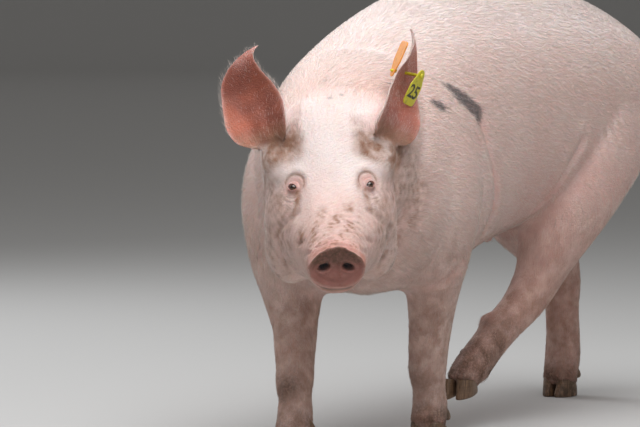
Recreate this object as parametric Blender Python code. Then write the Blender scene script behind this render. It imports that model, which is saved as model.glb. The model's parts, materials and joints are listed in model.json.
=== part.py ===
"""A walking Large White pig, life size, as a still model: metres, +Z up, nose towards -Y, its left side towards +X.

The flesh is a set of lofts (a profile carried along a path) for the trunk, neck, head, jowls and legs. They are
joined by a voxel remesh, eased where they meet, thinned to few faces and parted into named pieces by thin cuts.
Ears, tail, eyes, claws and the ear tag are pieces of their own, fitted to the flesh with a small gap.
"""

import math

import bmesh
import bpy
import numpy as np
from mathutils import Matrix, Vector

# ------------------------------------------------------------------ driving sizes, in metres
GAP = 0.0004  # clearance between neighbouring pieces
VOXEL = 0.008  # cell of the remesh that joins the lofts
EASE_ROUNDS = 10  # smoothing passes where the lofts meet
FLESH_TRIANGLES = 3500

LEFT, RIGHT = 1, -1
SIDE_NAMES = {LEFT: "left", RIGHT: "right"}

HEAD_TURN = math.radians(32.0)  # the head looks this far to the pig's left
HEAD_DROP = math.radians(33.0)  # and the bridge of the nose points this far down
HEAD_ROLL = math.radians(2.0)  # and it leans this far to its left
BETWEEN_EYES = np.array([0.136, -0.780, 0.526])
EYE_APART = 0.0665  # from the middle of the head to each eye's centre
EYE_RADIUS = 0.0125
EYE_PLACE = (0.009, 0.003)  # towards the snout, and out of the forehead

# trunk: distance back, shift to the left, height of the back, height of the belly, half width
TRUNK = [
    (-0.640, 0.034, 0.630, 0.450, 0.050),
    (-0.615, 0.032, 0.690, 0.385, 0.115),
    (-0.570, 0.020, 0.735, 0.330, 0.171),
    (-0.510, 0.010, 0.775, 0.303, 0.204),
    (-0.430, 0.003, 0.812, 0.298, 0.217),
    (-0.330, -0.004, 0.850, 0.305, 0.218),
    (-0.200, -0.008, 0.886, 0.335, 0.217),
    (-0.060, -0.010, 0.902, 0.368, 0.218),
    (0.080, -0.010, 0.910, 0.392, 0.219),
    (0.220, -0.006, 0.906, 0.420, 0.217),
    (0.360, 0.000, 0.886, 0.442, 0.208),
    (0.480, 0.008, 0.852, 0.464, 0.196),
    (0.580, 0.014, 0.812, 0.500, 0.172),
    (0.660, 0.020, 0.762, 0.540, 0.140),
    (0.708, 0.024, 0.720, 0.580, 0.100),
    (0.728, 0.026, 0.682, 0.615, 0.048),
]
TRUNK_WIDEST = 0.47  # share of the trunk's height at which it is widest

# neck: centre, half height, half width
NECK = [
    ((0.010, -0.420, 0.565), 0.225, 0.190),
    ((0.026, -0.510, 0.570), 0.205, 0.175),
    ((0.050, -0.590, 0.562), 0.182, 0.158),
    ((0.076, -0.655, 0.545), 0.160, 0.140),
    ((0.096, -0.700, 0.525), 0.130, 0.115),
]

# head: distance towards the snout, top, bottom, half width, level of the widest place, lean of the section (degrees)
HEAD = [
    (-0.215, 0.030, -0.130, 0.060, -0.050, 0),
    (-0.192, 0.078, -0.172, 0.096, -0.045, 0),
    (-0.148, 0.102, -0.200, 0.117, -0.055, 0),
    (-0.098, 0.097, -0.213, 0.126, -0.078, 0),
    (-0.048, 0.072, -0.214, 0.128, -0.098, 0),
    (0.000, 0.044, -0.205, 0.123, -0.108, 0),
    (0.042, 0.024, -0.187, 0.108, -0.104, 0),
    (0.082, 0.013, -0.164, 0.087, -0.088, 0),
    (0.118, 0.009, -0.147, 0.069, -0.068, 0),
    (0.152, 0.008, -0.130, 0.059, -0.052, -1),
    (0.178, 0.007, -0.112, 0.054, -0.042, -5),
    (0.200, 0.013, -0.082, 0.055, -0.030, -11),
    (0.217, 0.017, -0.070, 0.055, -0.0255, -13.5),
]
JOWL = dict(side=0.076, nose=-0.020, brow=-0.150, radii=(0.052, 0.085, 0.068))
EAR_BASE = dict(side=0.093, nose=-0.078, brow=0.008, radii=(0.036, 0.060, 0.038))

# legs, from the body down to the coronet: centre, half width, reach to the front, reach to the back
LEGS = {
    "foreleg_left": [
        ((0.118, -0.430, 0.640), 0.085, 0.090, 0.120),
        ((0.128, -0.405, 0.540), 0.100, 0.120, 0.130),
        ((0.134, -0.385, 0.450), 0.090, 0.110, 0.112),
        ((0.125, -0.358, 0.370), 0.068, 0.080, 0.088),
        ((0.109, -0.335, 0.300), 0.051, 0.056, 0.068),
        ((0.094, -0.316, 0.235), 0.042, 0.046, 0.053),
        ((0.084, -0.306, 0.180), 0.039, 0.043, 0.045),
        ((0.080, -0.300, 0.140), 0.037, 0.042, 0.040),
        ((0.078, -0.292, 0.105), 0.033, 0.035, 0.037),
        ((0.076, -0.286, 0.072), 0.035, 0.034, 0.042),
        ((0.075, -0.288, 0.045), 0.035, 0.037, 0.040),
        ((0.075, -0.292, 0.020), 0.034, 0.040, 0.034),
    ],
    "foreleg_right": [
        ((-0.108, -0.430, 0.640), 0.080, 0.090, 0.120),
        ((-0.124, -0.440, 0.540), 0.104, 0.114, 0.130),
        ((-0.131, -0.462, 0.450), 0.098, 0.112, 0.112),
        ((-0.121, -0.492, 0.370), 0.080, 0.086, 0.086),
        ((-0.100, -0.522, 0.300), 0.058, 0.060, 0.066),
        ((-0.076, -0.552, 0.235), 0.043, 0.047, 0.050),
        ((-0.061, -0.576, 0.180), 0.039, 0.043, 0.042),
        ((-0.052, -0.592, 0.140), 0.037, 0.041, 0.038),
        ((-0.045, -0.604, 0.105), 0.033, 0.034, 0.035),
        ((-0.039, -0.616, 0.072), 0.035, 0.033, 0.042),
        ((-0.036, -0.628, 0.045), 0.035, 0.037, 0.041),
        ((-0.034, -0.636, 0.020), 0.034, 0.040, 0.034),
    ],
    "hindleg_left": [
        ((0.105, 0.400, 0.700), 0.090, 0.150, 0.175),
        ((0.112, 0.350, 0.600), 0.104, 0.175, 0.180),
        ((0.124, 0.275, 0.510), 0.096, 0.150, 0.125),
        ((0.126, 0.200, 0.430), 0.080, 0.112, 0.096),
        ((0.119, 0.145, 0.355), 0.060, 0.076, 0.072),
        ((0.108, 0.120, 0.300), 0.045, 0.052, 0.060),
        ((0.096, 0.090, 0.255), 0.040, 0.047, 0.048),
        ((0.078, 0.034, 0.205), 0.035, 0.041, 0.037),
        ((0.062, -0.014, 0.165), 0.034, 0.039, 0.037),
        ((0.051, -0.044, 0.136), 0.035, 0.039, 0.041),
        ((0.043, -0.064, 0.112), 0.036, 0.040, 0.040),
        ((0.038, -0.076, 0.088), 0.035, 0.040, 0.036),
    ],
    "hindleg_right": [
        ((-0.088, 0.440, 0.700), 0.092, 0.160, 0.190),
        ((-0.102, 0.460, 0.600), 0.108, 0.200, 0.225),
        ((-0.112, 0.490, 0.510), 0.104, 0.190, 0.200),
        ((-0.117, 0.540, 0.430), 0.084, 0.150, 0.150),
        ((-0.116, 0.598, 0.350), 0.058, 0.096, 0.092),
        ((-0.112, 0.638, 0.295), 0.045, 0.062, 0.064),
        ((-0.109, 0.654, 0.245), 0.041, 0.047, 0.054),
        ((-0.106, 0.654, 0.190), 0.037, 0.039, 0.041),
        ((-0.103, 0.652, 0.140), 0.037, 0.037, 0.041),
        ((-0.100, 0.646, 0.095), 0.039, 0.038, 0.044),
        ((-0.098, 0.636, 0.060), 0.038, 0.040, 0.042),
        ((-0.098, 0.628, 0.020), 0.036, 0.041, 0.036),
    ],
}
LEG_STEPS = 4


def head_axes():
    """The head's own directions: to the pig's left, towards the snout, and out of the forehead."""
    ahead = Vector((math.sin(HEAD_TURN), -math.cos(HEAD_TURN), 0.0))
    side = Vector((math.cos(HEAD_TURN), math.sin(HEAD_TURN), 0.0))
    nose = ahead * math.cos(HEAD_DROP) - Vector((0, 0, 1)) * math.sin(HEAD_DROP)
    brow = ahead * math.sin(HEAD_DROP) + Vector((0, 0, 1)) * math.cos(HEAD_DROP)
    lean = Matrix.Rotation(HEAD_ROLL, 3, ahead)
    return [np.array(lean @ axis) for axis in (side, nose, brow)]


HEAD_SIDE, HEAD_NOSE, HEAD_BROW = head_axes()


def head_point(side, nose, brow):
    """A point given from between the eyes: to the pig's left, towards the snout, and out of the forehead."""
    return BETWEEN_EYES + side * HEAD_SIDE + nose * HEAD_NOSE + brow * HEAD_BROW


# ------------------------------------------------------------------ profiles and lofts
def smooth_rows(rows, steps):
    """Rows of numbers on a Catmull-Rom curve through the given ones, with this many steps between neighbours."""
    rows = np.array(rows, float)
    padded = np.vstack([2 * rows[0] - rows[1], rows, 2 * rows[-1] - rows[-2]])
    made = []
    for before, start, end, after in zip(padded, padded[1:], padded[2:], padded[3:]):
        for t in np.arange(steps) / steps:
            slope = (end - before) * t
            bend = (2 * before - 5 * start + 4 * end - after) * t**2
            cube = (3 * start - before - 3 * end + after) * t**3
            made.append(0.5 * (2 * start + slope + bend + cube))
    return np.array(made + [rows[-1]])


def flat_rows(stations):
    """Stations whose first entry may be a point, as plain rows of numbers."""
    return [np.hstack([np.ravel(entry) for entry in station]) for station in stations]


def oval(centre, across, upward, half_width, rise, drop, full_above=2.2, full_below=2.2, count=36):
    """A ring round a centre, rise above it and drop below it. A fullness of 2 is an ellipse, and more is boxier."""
    angle = np.linspace(0, 2 * math.pi, count, endpoint=False)
    c, s = np.cos(angle), np.sin(angle)
    power = 2 / np.where(s > 0, full_above, full_below)
    sideways = half_width * np.sign(c) * np.abs(c) ** power
    height = np.where(s > 0, rise, drop) * np.sign(s) * np.abs(s) ** power
    return np.array(centre) + np.outer(sideways, across) + np.outer(height, upward)


def shell_object(name, rings, turned=False):
    """A closed object through the rings, with a flat cap at each end."""
    rings = np.array(rings)
    if turned:
        rings = rings[:, ::-1]
    mesh = bpy.data.meshes.new(name)
    count = rings.shape[1]
    here = np.arange(count)
    ahead = (here + 1) % count
    faces = []
    for i in range(len(rings) - 1):
        low, high = i * count, (i + 1) * count
        faces += np.stack([low + here, low + ahead, high + ahead, high + here], axis=1).tolist()
    faces.append(here[::-1].tolist())
    faces.append(((len(rings) - 1) * count + here).tolist())
    mesh.from_pydata(rings.reshape(-1, 3).tolist(), [], faces)
    made = bpy.data.objects.new(name, mesh)
    bpy.context.collection.objects.link(made)
    face_out(made)
    return made


def face_out(obj):
    """Turns every face of a closed object outwards."""
    work = bmesh.new()
    work.from_mesh(obj.data)
    bmesh.ops.recalc_face_normals(work, faces=work.faces)
    if work.calc_volume(signed=True) < 0:
        bmesh.ops.reverse_faces(work, faces=work.faces)
    work.to_mesh(obj.data)
    work.free()


def ball(name, centre, axes, radii, rounds=3):
    """An ellipsoid with its own axes, made from an icosphere."""
    work = bmesh.new()
    bmesh.ops.create_icosphere(work, subdivisions=rounds, radius=1.0)
    for vertex in work.verts:
        place = sum(axis * radius * along for axis, radius, along in zip(axes, radii, vertex.co))
        vertex.co = Vector(np.array(centre) + place)
    mesh = bpy.data.meshes.new(name)
    work.to_mesh(mesh)
    work.free()
    made = bpy.data.objects.new(name, mesh)
    bpy.context.collection.objects.link(made)
    face_out(made)
    return made


def path_frames(points, side):
    """At each point of a path, the way across it (nearest to side) and the way to its front."""
    along = np.gradient(points, axis=0)
    along /= np.linalg.norm(along, axis=1)[:, None]
    across = side - (along @ side)[:, None] * along
    across /= np.linalg.norm(across, axis=1)[:, None]
    return across, np.cross(along, across)


def trunk_solid():
    rings = []
    for back, left, top, bottom, width in smooth_rows(TRUNK, 3):
        level = bottom + TRUNK_WIDEST * (top - bottom)
        centre = (left, back, level)
        rings.append(oval(centre, (1, 0, 0), (0, 0, 1), width, top - level, level - bottom, 2.0, 2.35, 48))
    return shell_object("trunk", rings)


def neck_solid():
    rows = smooth_rows(flat_rows(NECK), 4)
    across, front = path_frames(rows[:, :3], np.array([1.0, 0.0, 0.0]))
    rings = [
        oval(row[:3], side, up, row[4], row[3], row[3])
        for row, side, up in zip(rows, across, front)
    ]
    return shell_object("neck", rings)


def head_solid():
    rings = []
    for nose, top, bottom, width, widest, lean in smooth_rows(HEAD, 4):
        tip = math.radians(lean)
        upward = HEAD_BROW * math.cos(tip) + HEAD_NOSE * math.sin(tip)
        centre = head_point(0, nose, widest)
        rings.append(oval(centre, HEAD_SIDE, upward, width, top - widest, widest - bottom, 2.1, 2.2))
    return shell_object("head", rings)


def swelling_solid(name, side, at):
    """A jowl, or the swelling that an ear grows from."""
    centre = head_point(side * at["side"], at["nose"], at["brow"])
    return ball(name, centre, (HEAD_SIDE, HEAD_NOSE, HEAD_BROW), at["radii"])


def leg_solid(name):
    rows = smooth_rows(flat_rows(LEGS[name]), LEG_STEPS)
    across, front = path_frames(rows[:, :3], np.array([1.0, 0.0, 0.0]))
    front *= np.sign(-front[:, 1:2])
    rings = [
        oval(row[:3], side, ahead, row[3], row[4], row[5], count=28)
        for row, side, ahead in zip(rows, across, front)
    ]
    return shell_object(name, rings)


# ------------------------------------------------------------------ ears, tail and claws
# ear: share of its length, half width, how far the edges stand forward, thickness, bend to its back
EAR = [
    (-0.10, 0.016, 0.004, 0.030, 0.030),
    (0.00, 0.023, 0.006, 0.022, 0.010),
    (0.05, 0.027, 0.012, 0.018, 0.000),
    (0.10, 0.043, 0.022, 0.0150, -0.006),
    (0.17, 0.055, 0.025, 0.0110, -0.010),
    (0.30, 0.063, 0.024, 0.0085, -0.010),
    (0.45, 0.063, 0.018, 0.0068, -0.004),
    (0.61, 0.056, 0.012, 0.0058, 0.000),
    (0.75, 0.043, 0.009, 0.0052, -0.006),
    (0.88, 0.025, 0.005, 0.0046, -0.010),
    (0.96, 0.012, 0.003, 0.0042, -0.006),
    (1.00, 0.004, 0.001, 0.0040, 0.000),
]
# how far each ear's middle line sways outwards, row for row as above
EAR_SWAY = {
    RIGHT: (0, 0, 0, -0.004, -0.009, -0.014, -0.021, -0.031, -0.036, -0.029, -0.014, 0),
    LEFT: (0, 0, 0, 0, 0, 0.004, 0.012, 0.022, 0.026, 0.016, 0.006, 0),
}
# each ear: root and tip in the head's directions, the way its hollow faces, its turn at root and tip (degrees)
EARS = {
    RIGHT: ((-0.098, -0.080, 0.020), (-0.126, -0.248, 0.152), (0.25, -0.80, -0.55), 0, 0),
    LEFT: ((0.090, -0.084, 0.020), (0.164, -0.249, 0.177), (1.00, 0.00, 0.03), -17, 27),
}
EAR_COLUMNS = 7

# tail: centre and radius
TAIL = [
    ((0.026, 0.690, 0.752), 0.020),
    ((0.027, 0.735, 0.750), 0.018),
    ((0.028, 0.768, 0.724), 0.014),
    ((0.024, 0.780, 0.680), 0.0115),
    ((0.012, 0.782, 0.640), 0.0100),
    ((-0.006, 0.790, 0.616), 0.0090),
    ((-0.016, 0.812, 0.624), 0.0080),
    ((-0.004, 0.828, 0.648), 0.0070),
    ((0.016, 0.822, 0.644), 0.0060),
    ((0.024, 0.808, 0.614), 0.0050),
    ((0.020, 0.804, 0.580), 0.0038),
]

# a foot: the middle of its sole, how far it turns out and its toes point down (degrees), how far back its dewclaws sit
FEET = {
    "foreleg_left": ((0.076, -0.292, 0.0), 4, 0, 0.022),
    "foreleg_right": ((-0.034, -0.640, 0.0), 3, 0, 0.022),
    "hindleg_left": ((0.036, -0.088, 0.070), 4, 12, 0.078),
    "hindleg_right": ((-0.098, 0.624, 0.0), 4, 0, 0.022),
}
CLAW_HEIGHT = 0.034  # to the coronet, at the middle of the claw
CLAW_RISE = 0.30  # how steeply the coronet climbs towards the toe
CLAW_LENGTH = 0.070
CLAW_WIDTH = 0.033
CLEFT = 0.004
# claw, from the sole up: share of the height, share of the length at the toe, at the heel, share of the width
CLAW = [
    (0.00, 0.94, 0.92, 0.90),
    (0.06, 1.00, 1.00, 0.98),
    (0.40, 0.86, 1.00, 1.00),
    (0.75, 0.70, 0.96, 1.00),
    (1.00, 0.58, 0.92, 0.99),
]
CLAW_COLUMNS = 12
DEWCLAW_RADIUS = 0.0105


def foot_axes(name):
    """A foot's own directions (to its left, to its toes, up) and the middle of its sole."""
    middle, turn, dip, _ = FEET[name]
    outward = math.radians(turn) * (1 if name.endswith("left") else -1)
    turned = Matrix.Rotation(outward, 3, "Z") @ Matrix.Rotation(math.radians(dip), 3, "X")
    axes = [np.array(turned @ Vector(way)) for way in ((1, 0, 0), (0, -1, 0), (0, 0, 1))]
    return axes, np.array(middle)


def claw_solid(name, hand):
    """One main claw: rings from the flat sole up to the sloping coronet, straight along the cleft."""
    (left, toes, up), middle = foot_axes(name)
    angle = np.linspace(0, 2 * math.pi, CLAW_COLUMNS, endpoint=False)
    c, s = np.cos(angle), np.sin(angle)
    rings = []
    for high, toe, heel, wide in CLAW:
        along = 0.5 * CLAW_LENGTH * np.where(c > 0, toe, heel) * np.sign(c) * np.abs(c) ** 0.9
        across = 0.5 * CLAW_WIDTH * wide * np.sign(s) * np.abs(s) ** 0.75
        narrowing = 1 - 0.42 * np.clip(along / (0.5 * CLAW_LENGTH), 0, 1) ** 2
        inner_edge = 0.5 * (CLEFT + CLAW_WIDTH * (1 - wide))
        sideways = inner_edge + (across + 0.5 * CLAW_WIDTH * wide) * narrowing
        height = high * (CLAW_HEIGHT - 0.5 * GAP + CLAW_RISE * along)
        flat = np.outer(hand * sideways, left) + np.outer(along, toes)
        rings.append(middle + flat + np.outer(height, up))
    made = shell_object(f"{name}_claw_{'outer' if name.endswith(SIDE_NAMES[hand]) else 'inner'}", rings)
    return made


def dewclaw_solid(name, hand):
    """One dewclaw: a blunt cone at the back of the pastern that points down and outwards."""
    (left, toes, up), middle = foot_axes(name)
    back = FEET[name][3]
    root = middle + 0.017 * hand * left - back * toes + 0.066 * up
    tip = middle + 0.024 * hand * left - (back + 0.026) * toes + 0.040 * up
    rows = [(0.0, 1.0), (0.35, 1.05), (0.7, 0.9), (0.92, 0.62), (1.0, 0.34)]
    way = (tip - root) / np.linalg.norm(tip - root)
    across = np.cross(way, up)
    across /= np.linalg.norm(across)
    rings = [
        oval(root + share * (tip - root), across, np.cross(across, way), 0.85 * DEWCLAW_RADIUS * size,
             DEWCLAW_RADIUS * size, DEWCLAW_RADIUS * size, 2, 2, 10)
        for share, size in rows
    ]
    return shell_object(f"{name}_dewclaw_{'outer' if name.endswith(SIDE_NAMES[hand]) else 'inner'}", rings)


def ear_frame(hand, share):
    """An ear part way along: the point on its straight line, and the ways across it and out of its hollow."""
    root, tip, faces, turn_at_root, turn_at_tip = EARS[hand]
    root, tip = head_point(*root), head_point(*tip)
    across = np.cross(tip - root, faces)
    across /= np.linalg.norm(across)
    faces = np.cross(across, tip - root)
    faces /= np.linalg.norm(faces)
    turn = math.radians(turn_at_root + share * (turn_at_tip - turn_at_root))
    faces, across = (
        math.cos(turn) * faces + math.sin(turn) * across,
        math.cos(turn) * across - math.sin(turn) * faces,
    )
    return root + share * (tip - root), across, faces


def ear_solid(hand):
    """A hollow leaf: its front and back skins run side by side and meet along the rim."""
    column = np.linspace(-1, 1, EAR_COLUMNS)
    rings = []
    rows = [(*row, sway) for row, sway in zip(EAR, EAR_SWAY[hand])]
    for share, width, stand, thick, bend, sway in smooth_rows(rows, 2):
        centre, across, faces = ear_frame(hand, share)
        spine = centre - bend * faces + sway * across
        wall = 0.5 * thick * (1 - 0.35 * column**2)
        front = spine + np.outer(width * column, across) + np.outer(stand * column**2 + wall, faces)
        back = spine + np.outer(width * column, across) + np.outer(stand * column**2 - wall, faces)
        rings.append(np.vstack([front, back[::-1]]))
    return shell_object(f"ear_{SIDE_NAMES[hand]}", rings)


def tail_solid():
    rows = smooth_rows(flat_rows(TAIL), 2)
    across, front = path_frames(rows[:, :3], np.array([1.0, 0.0, 0.0]))
    rings = [oval(row[:3], side, up, row[3], row[3], row[3], 2, 2, 8) for row, side, up in zip(rows, across, front)]
    return shell_object("tail", rings)


# ------------------------------------------------------------------ the ear tag
TAG_SHARE = 0.67  # how far along the ear the pin goes through
TAG_THICK = 0.0022
TAG_WIDTH = 0.042
TAG_LENGTH = 0.072
TAG_NECK = 0.012  # radius of the round end about the pin
TAG_CORNER = 0.009
# each panel: how far its neck stands off the ear, the way it looks, and the way from it to its neck
TAG_FRONT = (0.034, (0.939, -0.070, -0.336), (0.343, 0.258, 0.903))
TAG_BACK = (-0.022, (-0.625, -0.683, 0.379), (-0.318, -0.236, -0.923))
PIN_RADIUS = 0.0030


def ear_point(hand, share):
    """A point on the middle line of the ear's leaf, and the way its hollow faces there."""
    centre, across, faces = ear_frame(hand, share)
    rows = np.array(EAR)
    bend = np.interp(share, rows[:, 0], rows[:, 4])
    sway = np.interp(share, rows[:, 0], EAR_SWAY[hand])
    return centre - bend * faces + sway * across, faces


def panel_outline():
    """A tag panel's outline about its pin: a rounded square that narrows to a round neck."""
    half, low = 0.5 * TAG_WIDTH, TAG_NECK - TAG_LENGTH
    neck = [(TAG_NECK * math.cos(a), TAG_NECK * math.sin(a)) for a in np.linspace(0, math.pi, 7)]
    shoulder = (-half, -TAG_NECK - TAG_CORNER)
    corner = [
        (TAG_CORNER * (1 - math.sin(a)) - half, low + TAG_CORNER * (1 - math.cos(a)))
        for a in np.linspace(math.pi / 2, 0, 4)
    ]
    left = [shoulder] + corner
    right = [(-x, y) for x, y in left[::-1]]
    return np.array(neck + left + right)


def panel_solid(name, centre, faces, upward):
    """A tag panel with its neck's middle at the centre."""
    normal = np.array(faces) / np.linalg.norm(faces)
    across = np.cross(upward, normal)
    across /= np.linalg.norm(across)
    outline = panel_outline()
    flat = np.outer(outline[:, 0], across) + np.outer(outline[:, 1], np.cross(normal, across))
    rings = [centre + flat + share * TAG_THICK * normal for share in (-0.5, 0.5)]
    return shell_object(name, rings)


def rod(name, start, end, radius, count=14):
    """A round rod between two points."""
    way = (end - start) / np.linalg.norm(end - start)
    across = np.cross(way, (0.0, 0.0, 1.0))
    across /= np.linalg.norm(across)
    rings = [oval(point, across, np.cross(across, way), radius, radius, radius, 2, 2, count) for point in (start, end)]
    return shell_object(name, rings)


# ------------------------------------------------------------------ joining, cutting and parting
def as_cutter(obj):
    """Hides a helper from the finished model."""
    obj.hide_render = True
    obj.display_type = "WIRE"
    return obj


def settled(obj):
    """The object with its modifiers worked in."""
    bpy.context.view_layer.update()
    graph = bpy.context.evaluated_depsgraph_get()
    mesh = bpy.data.meshes.new_from_object(obj.evaluated_get(graph))
    obj.modifiers.clear()
    obj.data = mesh
    return obj


def modified(obj, kind, **settings):
    """Adds one modifier, works it in and returns the object."""
    modifier = obj.modifiers.new(kind.lower(), kind)
    for name, value in settings.items():
        setattr(modifier, name, value)
    return settled(obj)


def joined(name, objects):
    """One object that holds the meshes of several, which it takes out of the scene."""
    work = bmesh.new()
    for obj in objects:
        work.from_mesh(obj.data)
    mesh = bpy.data.meshes.new(name)
    work.to_mesh(mesh)
    work.free()
    for obj in objects:
        bpy.data.objects.remove(obj)
    made = bpy.data.objects.new(name, mesh)
    bpy.context.collection.objects.link(made)
    return made


def combined(obj, other, operation, keep_other=False):
    """A Boolean of two objects; the other is removed unless it is kept."""
    modified(obj, "BOOLEAN", operation=operation, object=other, solver="MANIFOLD")
    if not keep_other:
        bpy.data.objects.remove(other)
    return obj


def slab(centre, normal, width, height, thick=GAP):
    """A thin box that parts the flesh: its normal, and its reach sideways and along the other way."""
    normal = Vector(normal).normalized()
    side = Vector((0, 0, 1)).cross(normal)
    side = side.normalized() if side.length > 0.05 else Vector((1, 0, 0))
    other = normal.cross(side)
    work = bmesh.new()
    bmesh.ops.create_cube(work, size=1.0)
    for vertex in work.verts:
        x, y, z = vertex.co
        vertex.co = Vector(centre) + side * x * width + other * y * height + normal * z * thick
    mesh = bpy.data.meshes.new("slab")
    work.to_mesh(mesh)
    work.free()
    made = bpy.data.objects.new("slab", mesh)
    bpy.context.collection.objects.link(made)
    face_out(made)
    return as_cutter(made)


def loose_parts(obj):
    """The separate bodies of an object, largest first, as (centre, volume, mesh)."""
    work = bmesh.new()
    work.from_mesh(obj.data)
    work.verts.ensure_lookup_table()
    left = set(range(len(work.verts)))
    found = []
    while left:
        stack = [left.pop()]
        island = set(stack)
        while stack:
            for edge in work.verts[stack.pop()].link_edges:
                for vertex in edge.verts:
                    if vertex.index in left:
                        left.discard(vertex.index)
                        island.add(vertex.index)
                        stack.append(vertex.index)
        piece = work.copy()
        piece.verts.ensure_lookup_table()
        gone = [vertex for vertex in piece.verts if vertex.index not in island]
        bmesh.ops.delete(piece, geom=gone, context="VERTS")
        volume = piece.calc_volume(signed=True)
        centre = sum((vertex.co for vertex in piece.verts), Vector()) / max(1, len(piece.verts))
        mesh = bpy.data.meshes.new("piece")
        piece.to_mesh(mesh)
        piece.free()
        found.append((centre, volume, mesh))
    work.free()
    return sorted(found, key=lambda entry: -entry[1])


def keep_largest(obj):
    """Drops the crumbs that a cut leaves."""
    obj.data = loose_parts(obj)[0][2]
    return obj


def flesh_whole():
    """Trunk, neck, head, jowls, ear bases and legs as one smooth body."""
    lofts = [trunk_solid(), neck_solid(), head_solid()]
    for side in (LEFT, RIGHT):
        lofts += [swelling_solid("jowl", side, JOWL), swelling_solid("ear_base", side, EAR_BASE)]
    lofts += [leg_solid(name) for name in LEGS]
    body = joined("flesh", lofts)
    modified(body, "REMESH", mode="VOXEL", voxel_size=VOXEL, adaptivity=0.0)
    modified(body, "SMOOTH", factor=0.5, iterations=EASE_ROUNDS)
    triangles = sum(len(face.vertices) - 2 for face in body.data.polygons)
    modified(body, "DECIMATE", decimate_type="COLLAPSE", ratio=FLESH_TRIANGLES / triangles)
    return keep_largest(body)


def trim_feet(body):
    """Cuts each leg off along the slope of its coronet, so that the claws can take over."""
    for name in FEET:
        (left, toes, up), middle = foot_axes(name)
        normal = up - CLAW_RISE * toes
        normal /= np.linalg.norm(normal)
        at = middle + up * (CLAW_HEIGHT + 0.5 * GAP)
        depth = 0.08
        combined(body, slab(at - normal * 0.5 * depth, normal, 0.12, 0.13, depth), "DIFFERENCE")
    return body


# where the flesh is parted: a point on the cut, its normal, and its reach sideways and along
CUTS = [
    ((0.020, -0.530, 0.600), (0.26, -0.93, 0.20), 0.70, 0.66),
    ((0.068, -0.640, 0.560), (0.45, -0.89, 0.12), 0.50, 0.56),
    ((0.000, -0.200, 0.640), (0, 1, 0), 0.70, 0.72),
    ((0.000, 0.150, 0.660), (0, 0.955, -0.295), 0.70, 0.60),
    ((0.100, -0.340, 0.296), (0, 0, 1), 0.16, 0.20),
    ((-0.098, -0.520, 0.296), (0, 0, 1), 0.16, 0.20),
    ((0.135, 0.240, 0.396), (0, -0.12, 0.99), 0.27, 0.44),
    ((-0.135, 0.540, 0.425), (0, 0, 1), 0.27, 0.46),
    ((0.080, -0.300, 0.140), (0, 0.10, 1), 0.14, 0.14),
    ((-0.052, -0.592, 0.140), (-0.1, 0.30, 1), 0.14, 0.14),
    ((0.097, 0.094, 0.258), (0.22, 0.62, 0.75), 0.16, 0.16),
    ((-0.110, 0.640, 0.250), (0, 0, 1), 0.16, 0.20),
]
SNOUT_CUT = 0.112  # distance from between the eyes

# each piece of flesh: a point inside it
FLESH_NODES = {
    "snout": None,
    "head": None,
    "neck": (0.030, -0.620, 0.600),
    "trunk_front": (0.0, -0.380, 0.560),
    "trunk_middle": (0.0, 0.000, 0.620),
    "trunk_rear": (0.0, 0.420, 0.680),
    "foreleg_left_upper": (0.094, -0.322, 0.220),
    "foreleg_left_foot": (0.077, -0.290, 0.080),
    "foreleg_right_upper": (-0.074, -0.555, 0.220),
    "foreleg_right_foot": (-0.042, -0.612, 0.080),
    "hindleg_left_upper": (0.118, 0.180, 0.350),
    "hindleg_left_foot": (0.066, 0.012, 0.170),
    "hindleg_right_upper": (-0.115, 0.585, 0.330),
    "hindleg_right_foot": (-0.104, 0.632, 0.140),
}


def part_flesh(body):
    """Cuts the body through and names each piece by the marker point nearest its middle."""
    cuts = CUTS + [(tuple(head_point(0, SNOUT_CUT, -0.06)), tuple(HEAD_NOSE), 0.26, 0.26)]
    for cut in cuts:
        combined(body, slab(*cut), "DIFFERENCE")
    markers = dict(FLESH_NODES)
    markers["snout"] = tuple(head_point(0, 0.165, -0.045))
    markers["head"] = tuple(head_point(0, -0.050, -0.070))
    found = {}
    for centre, volume, mesh in loose_parts(body):
        if volume < 2e-6:
            continue
        name = min(markers, key=lambda label: (Vector(markers[label]) - centre).length)
        if name in found:
            print("second piece near", name, tuple(round(c, 3) for c in centre), round(volume * 1e6, 1), "cm3")
            continue
        made = bpy.data.objects.new(name, mesh)
        bpy.context.collection.objects.link(made)
        found[name] = made
    for name in set(markers) - set(found):
        print("no piece for", name)
    bpy.data.objects.remove(body)
    return found


def grown(obj, by):
    """A cutter a little larger than the object all round."""
    made = obj.copy()
    made.data = obj.data.copy()
    bpy.context.collection.objects.link(made)
    modified(made, "DISPLACE", strength=by, mid_level=0.0)
    return as_cutter(made)


# ------------------------------------------------------------------ finishes
FINISHES = {
    "pig_skin": ((0.80, 0.56, 0.50), 0.55),
    "claw_horn": ((0.30, 0.22, 0.15), 0.50),
    "eye_wet": ((0.05, 0.03, 0.02), 0.08),
    "tag_yellow": ((0.72, 0.62, 0.05), 0.40),
    "tag_orange": ((0.80, 0.42, 0.04), 0.40),
}


def finish_of(name):
    if "claw" in name:
        return "claw_horn"
    if name.startswith("eye"):
        return "eye_wet"
    if name.startswith("ear_tag"):
        return "tag_yellow" if "front" in name else "tag_orange"
    return "pig_skin"


def give_finish(obj):
    """A Principled material of the object's own."""
    slot = finish_of(obj.name)
    material = bpy.data.materials.new(f"{slot}_{obj.name}")
    material.use_nodes = True
    shader = material.node_tree.nodes["Principled BSDF"]
    colour, rough = FINISHES[slot]
    shader.inputs["Base Color"].default_value = (*colour, 1.0)
    shader.inputs["Roughness"].default_value = rough
    obj.data.materials.clear()
    obj.data.materials.append(material)


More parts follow.
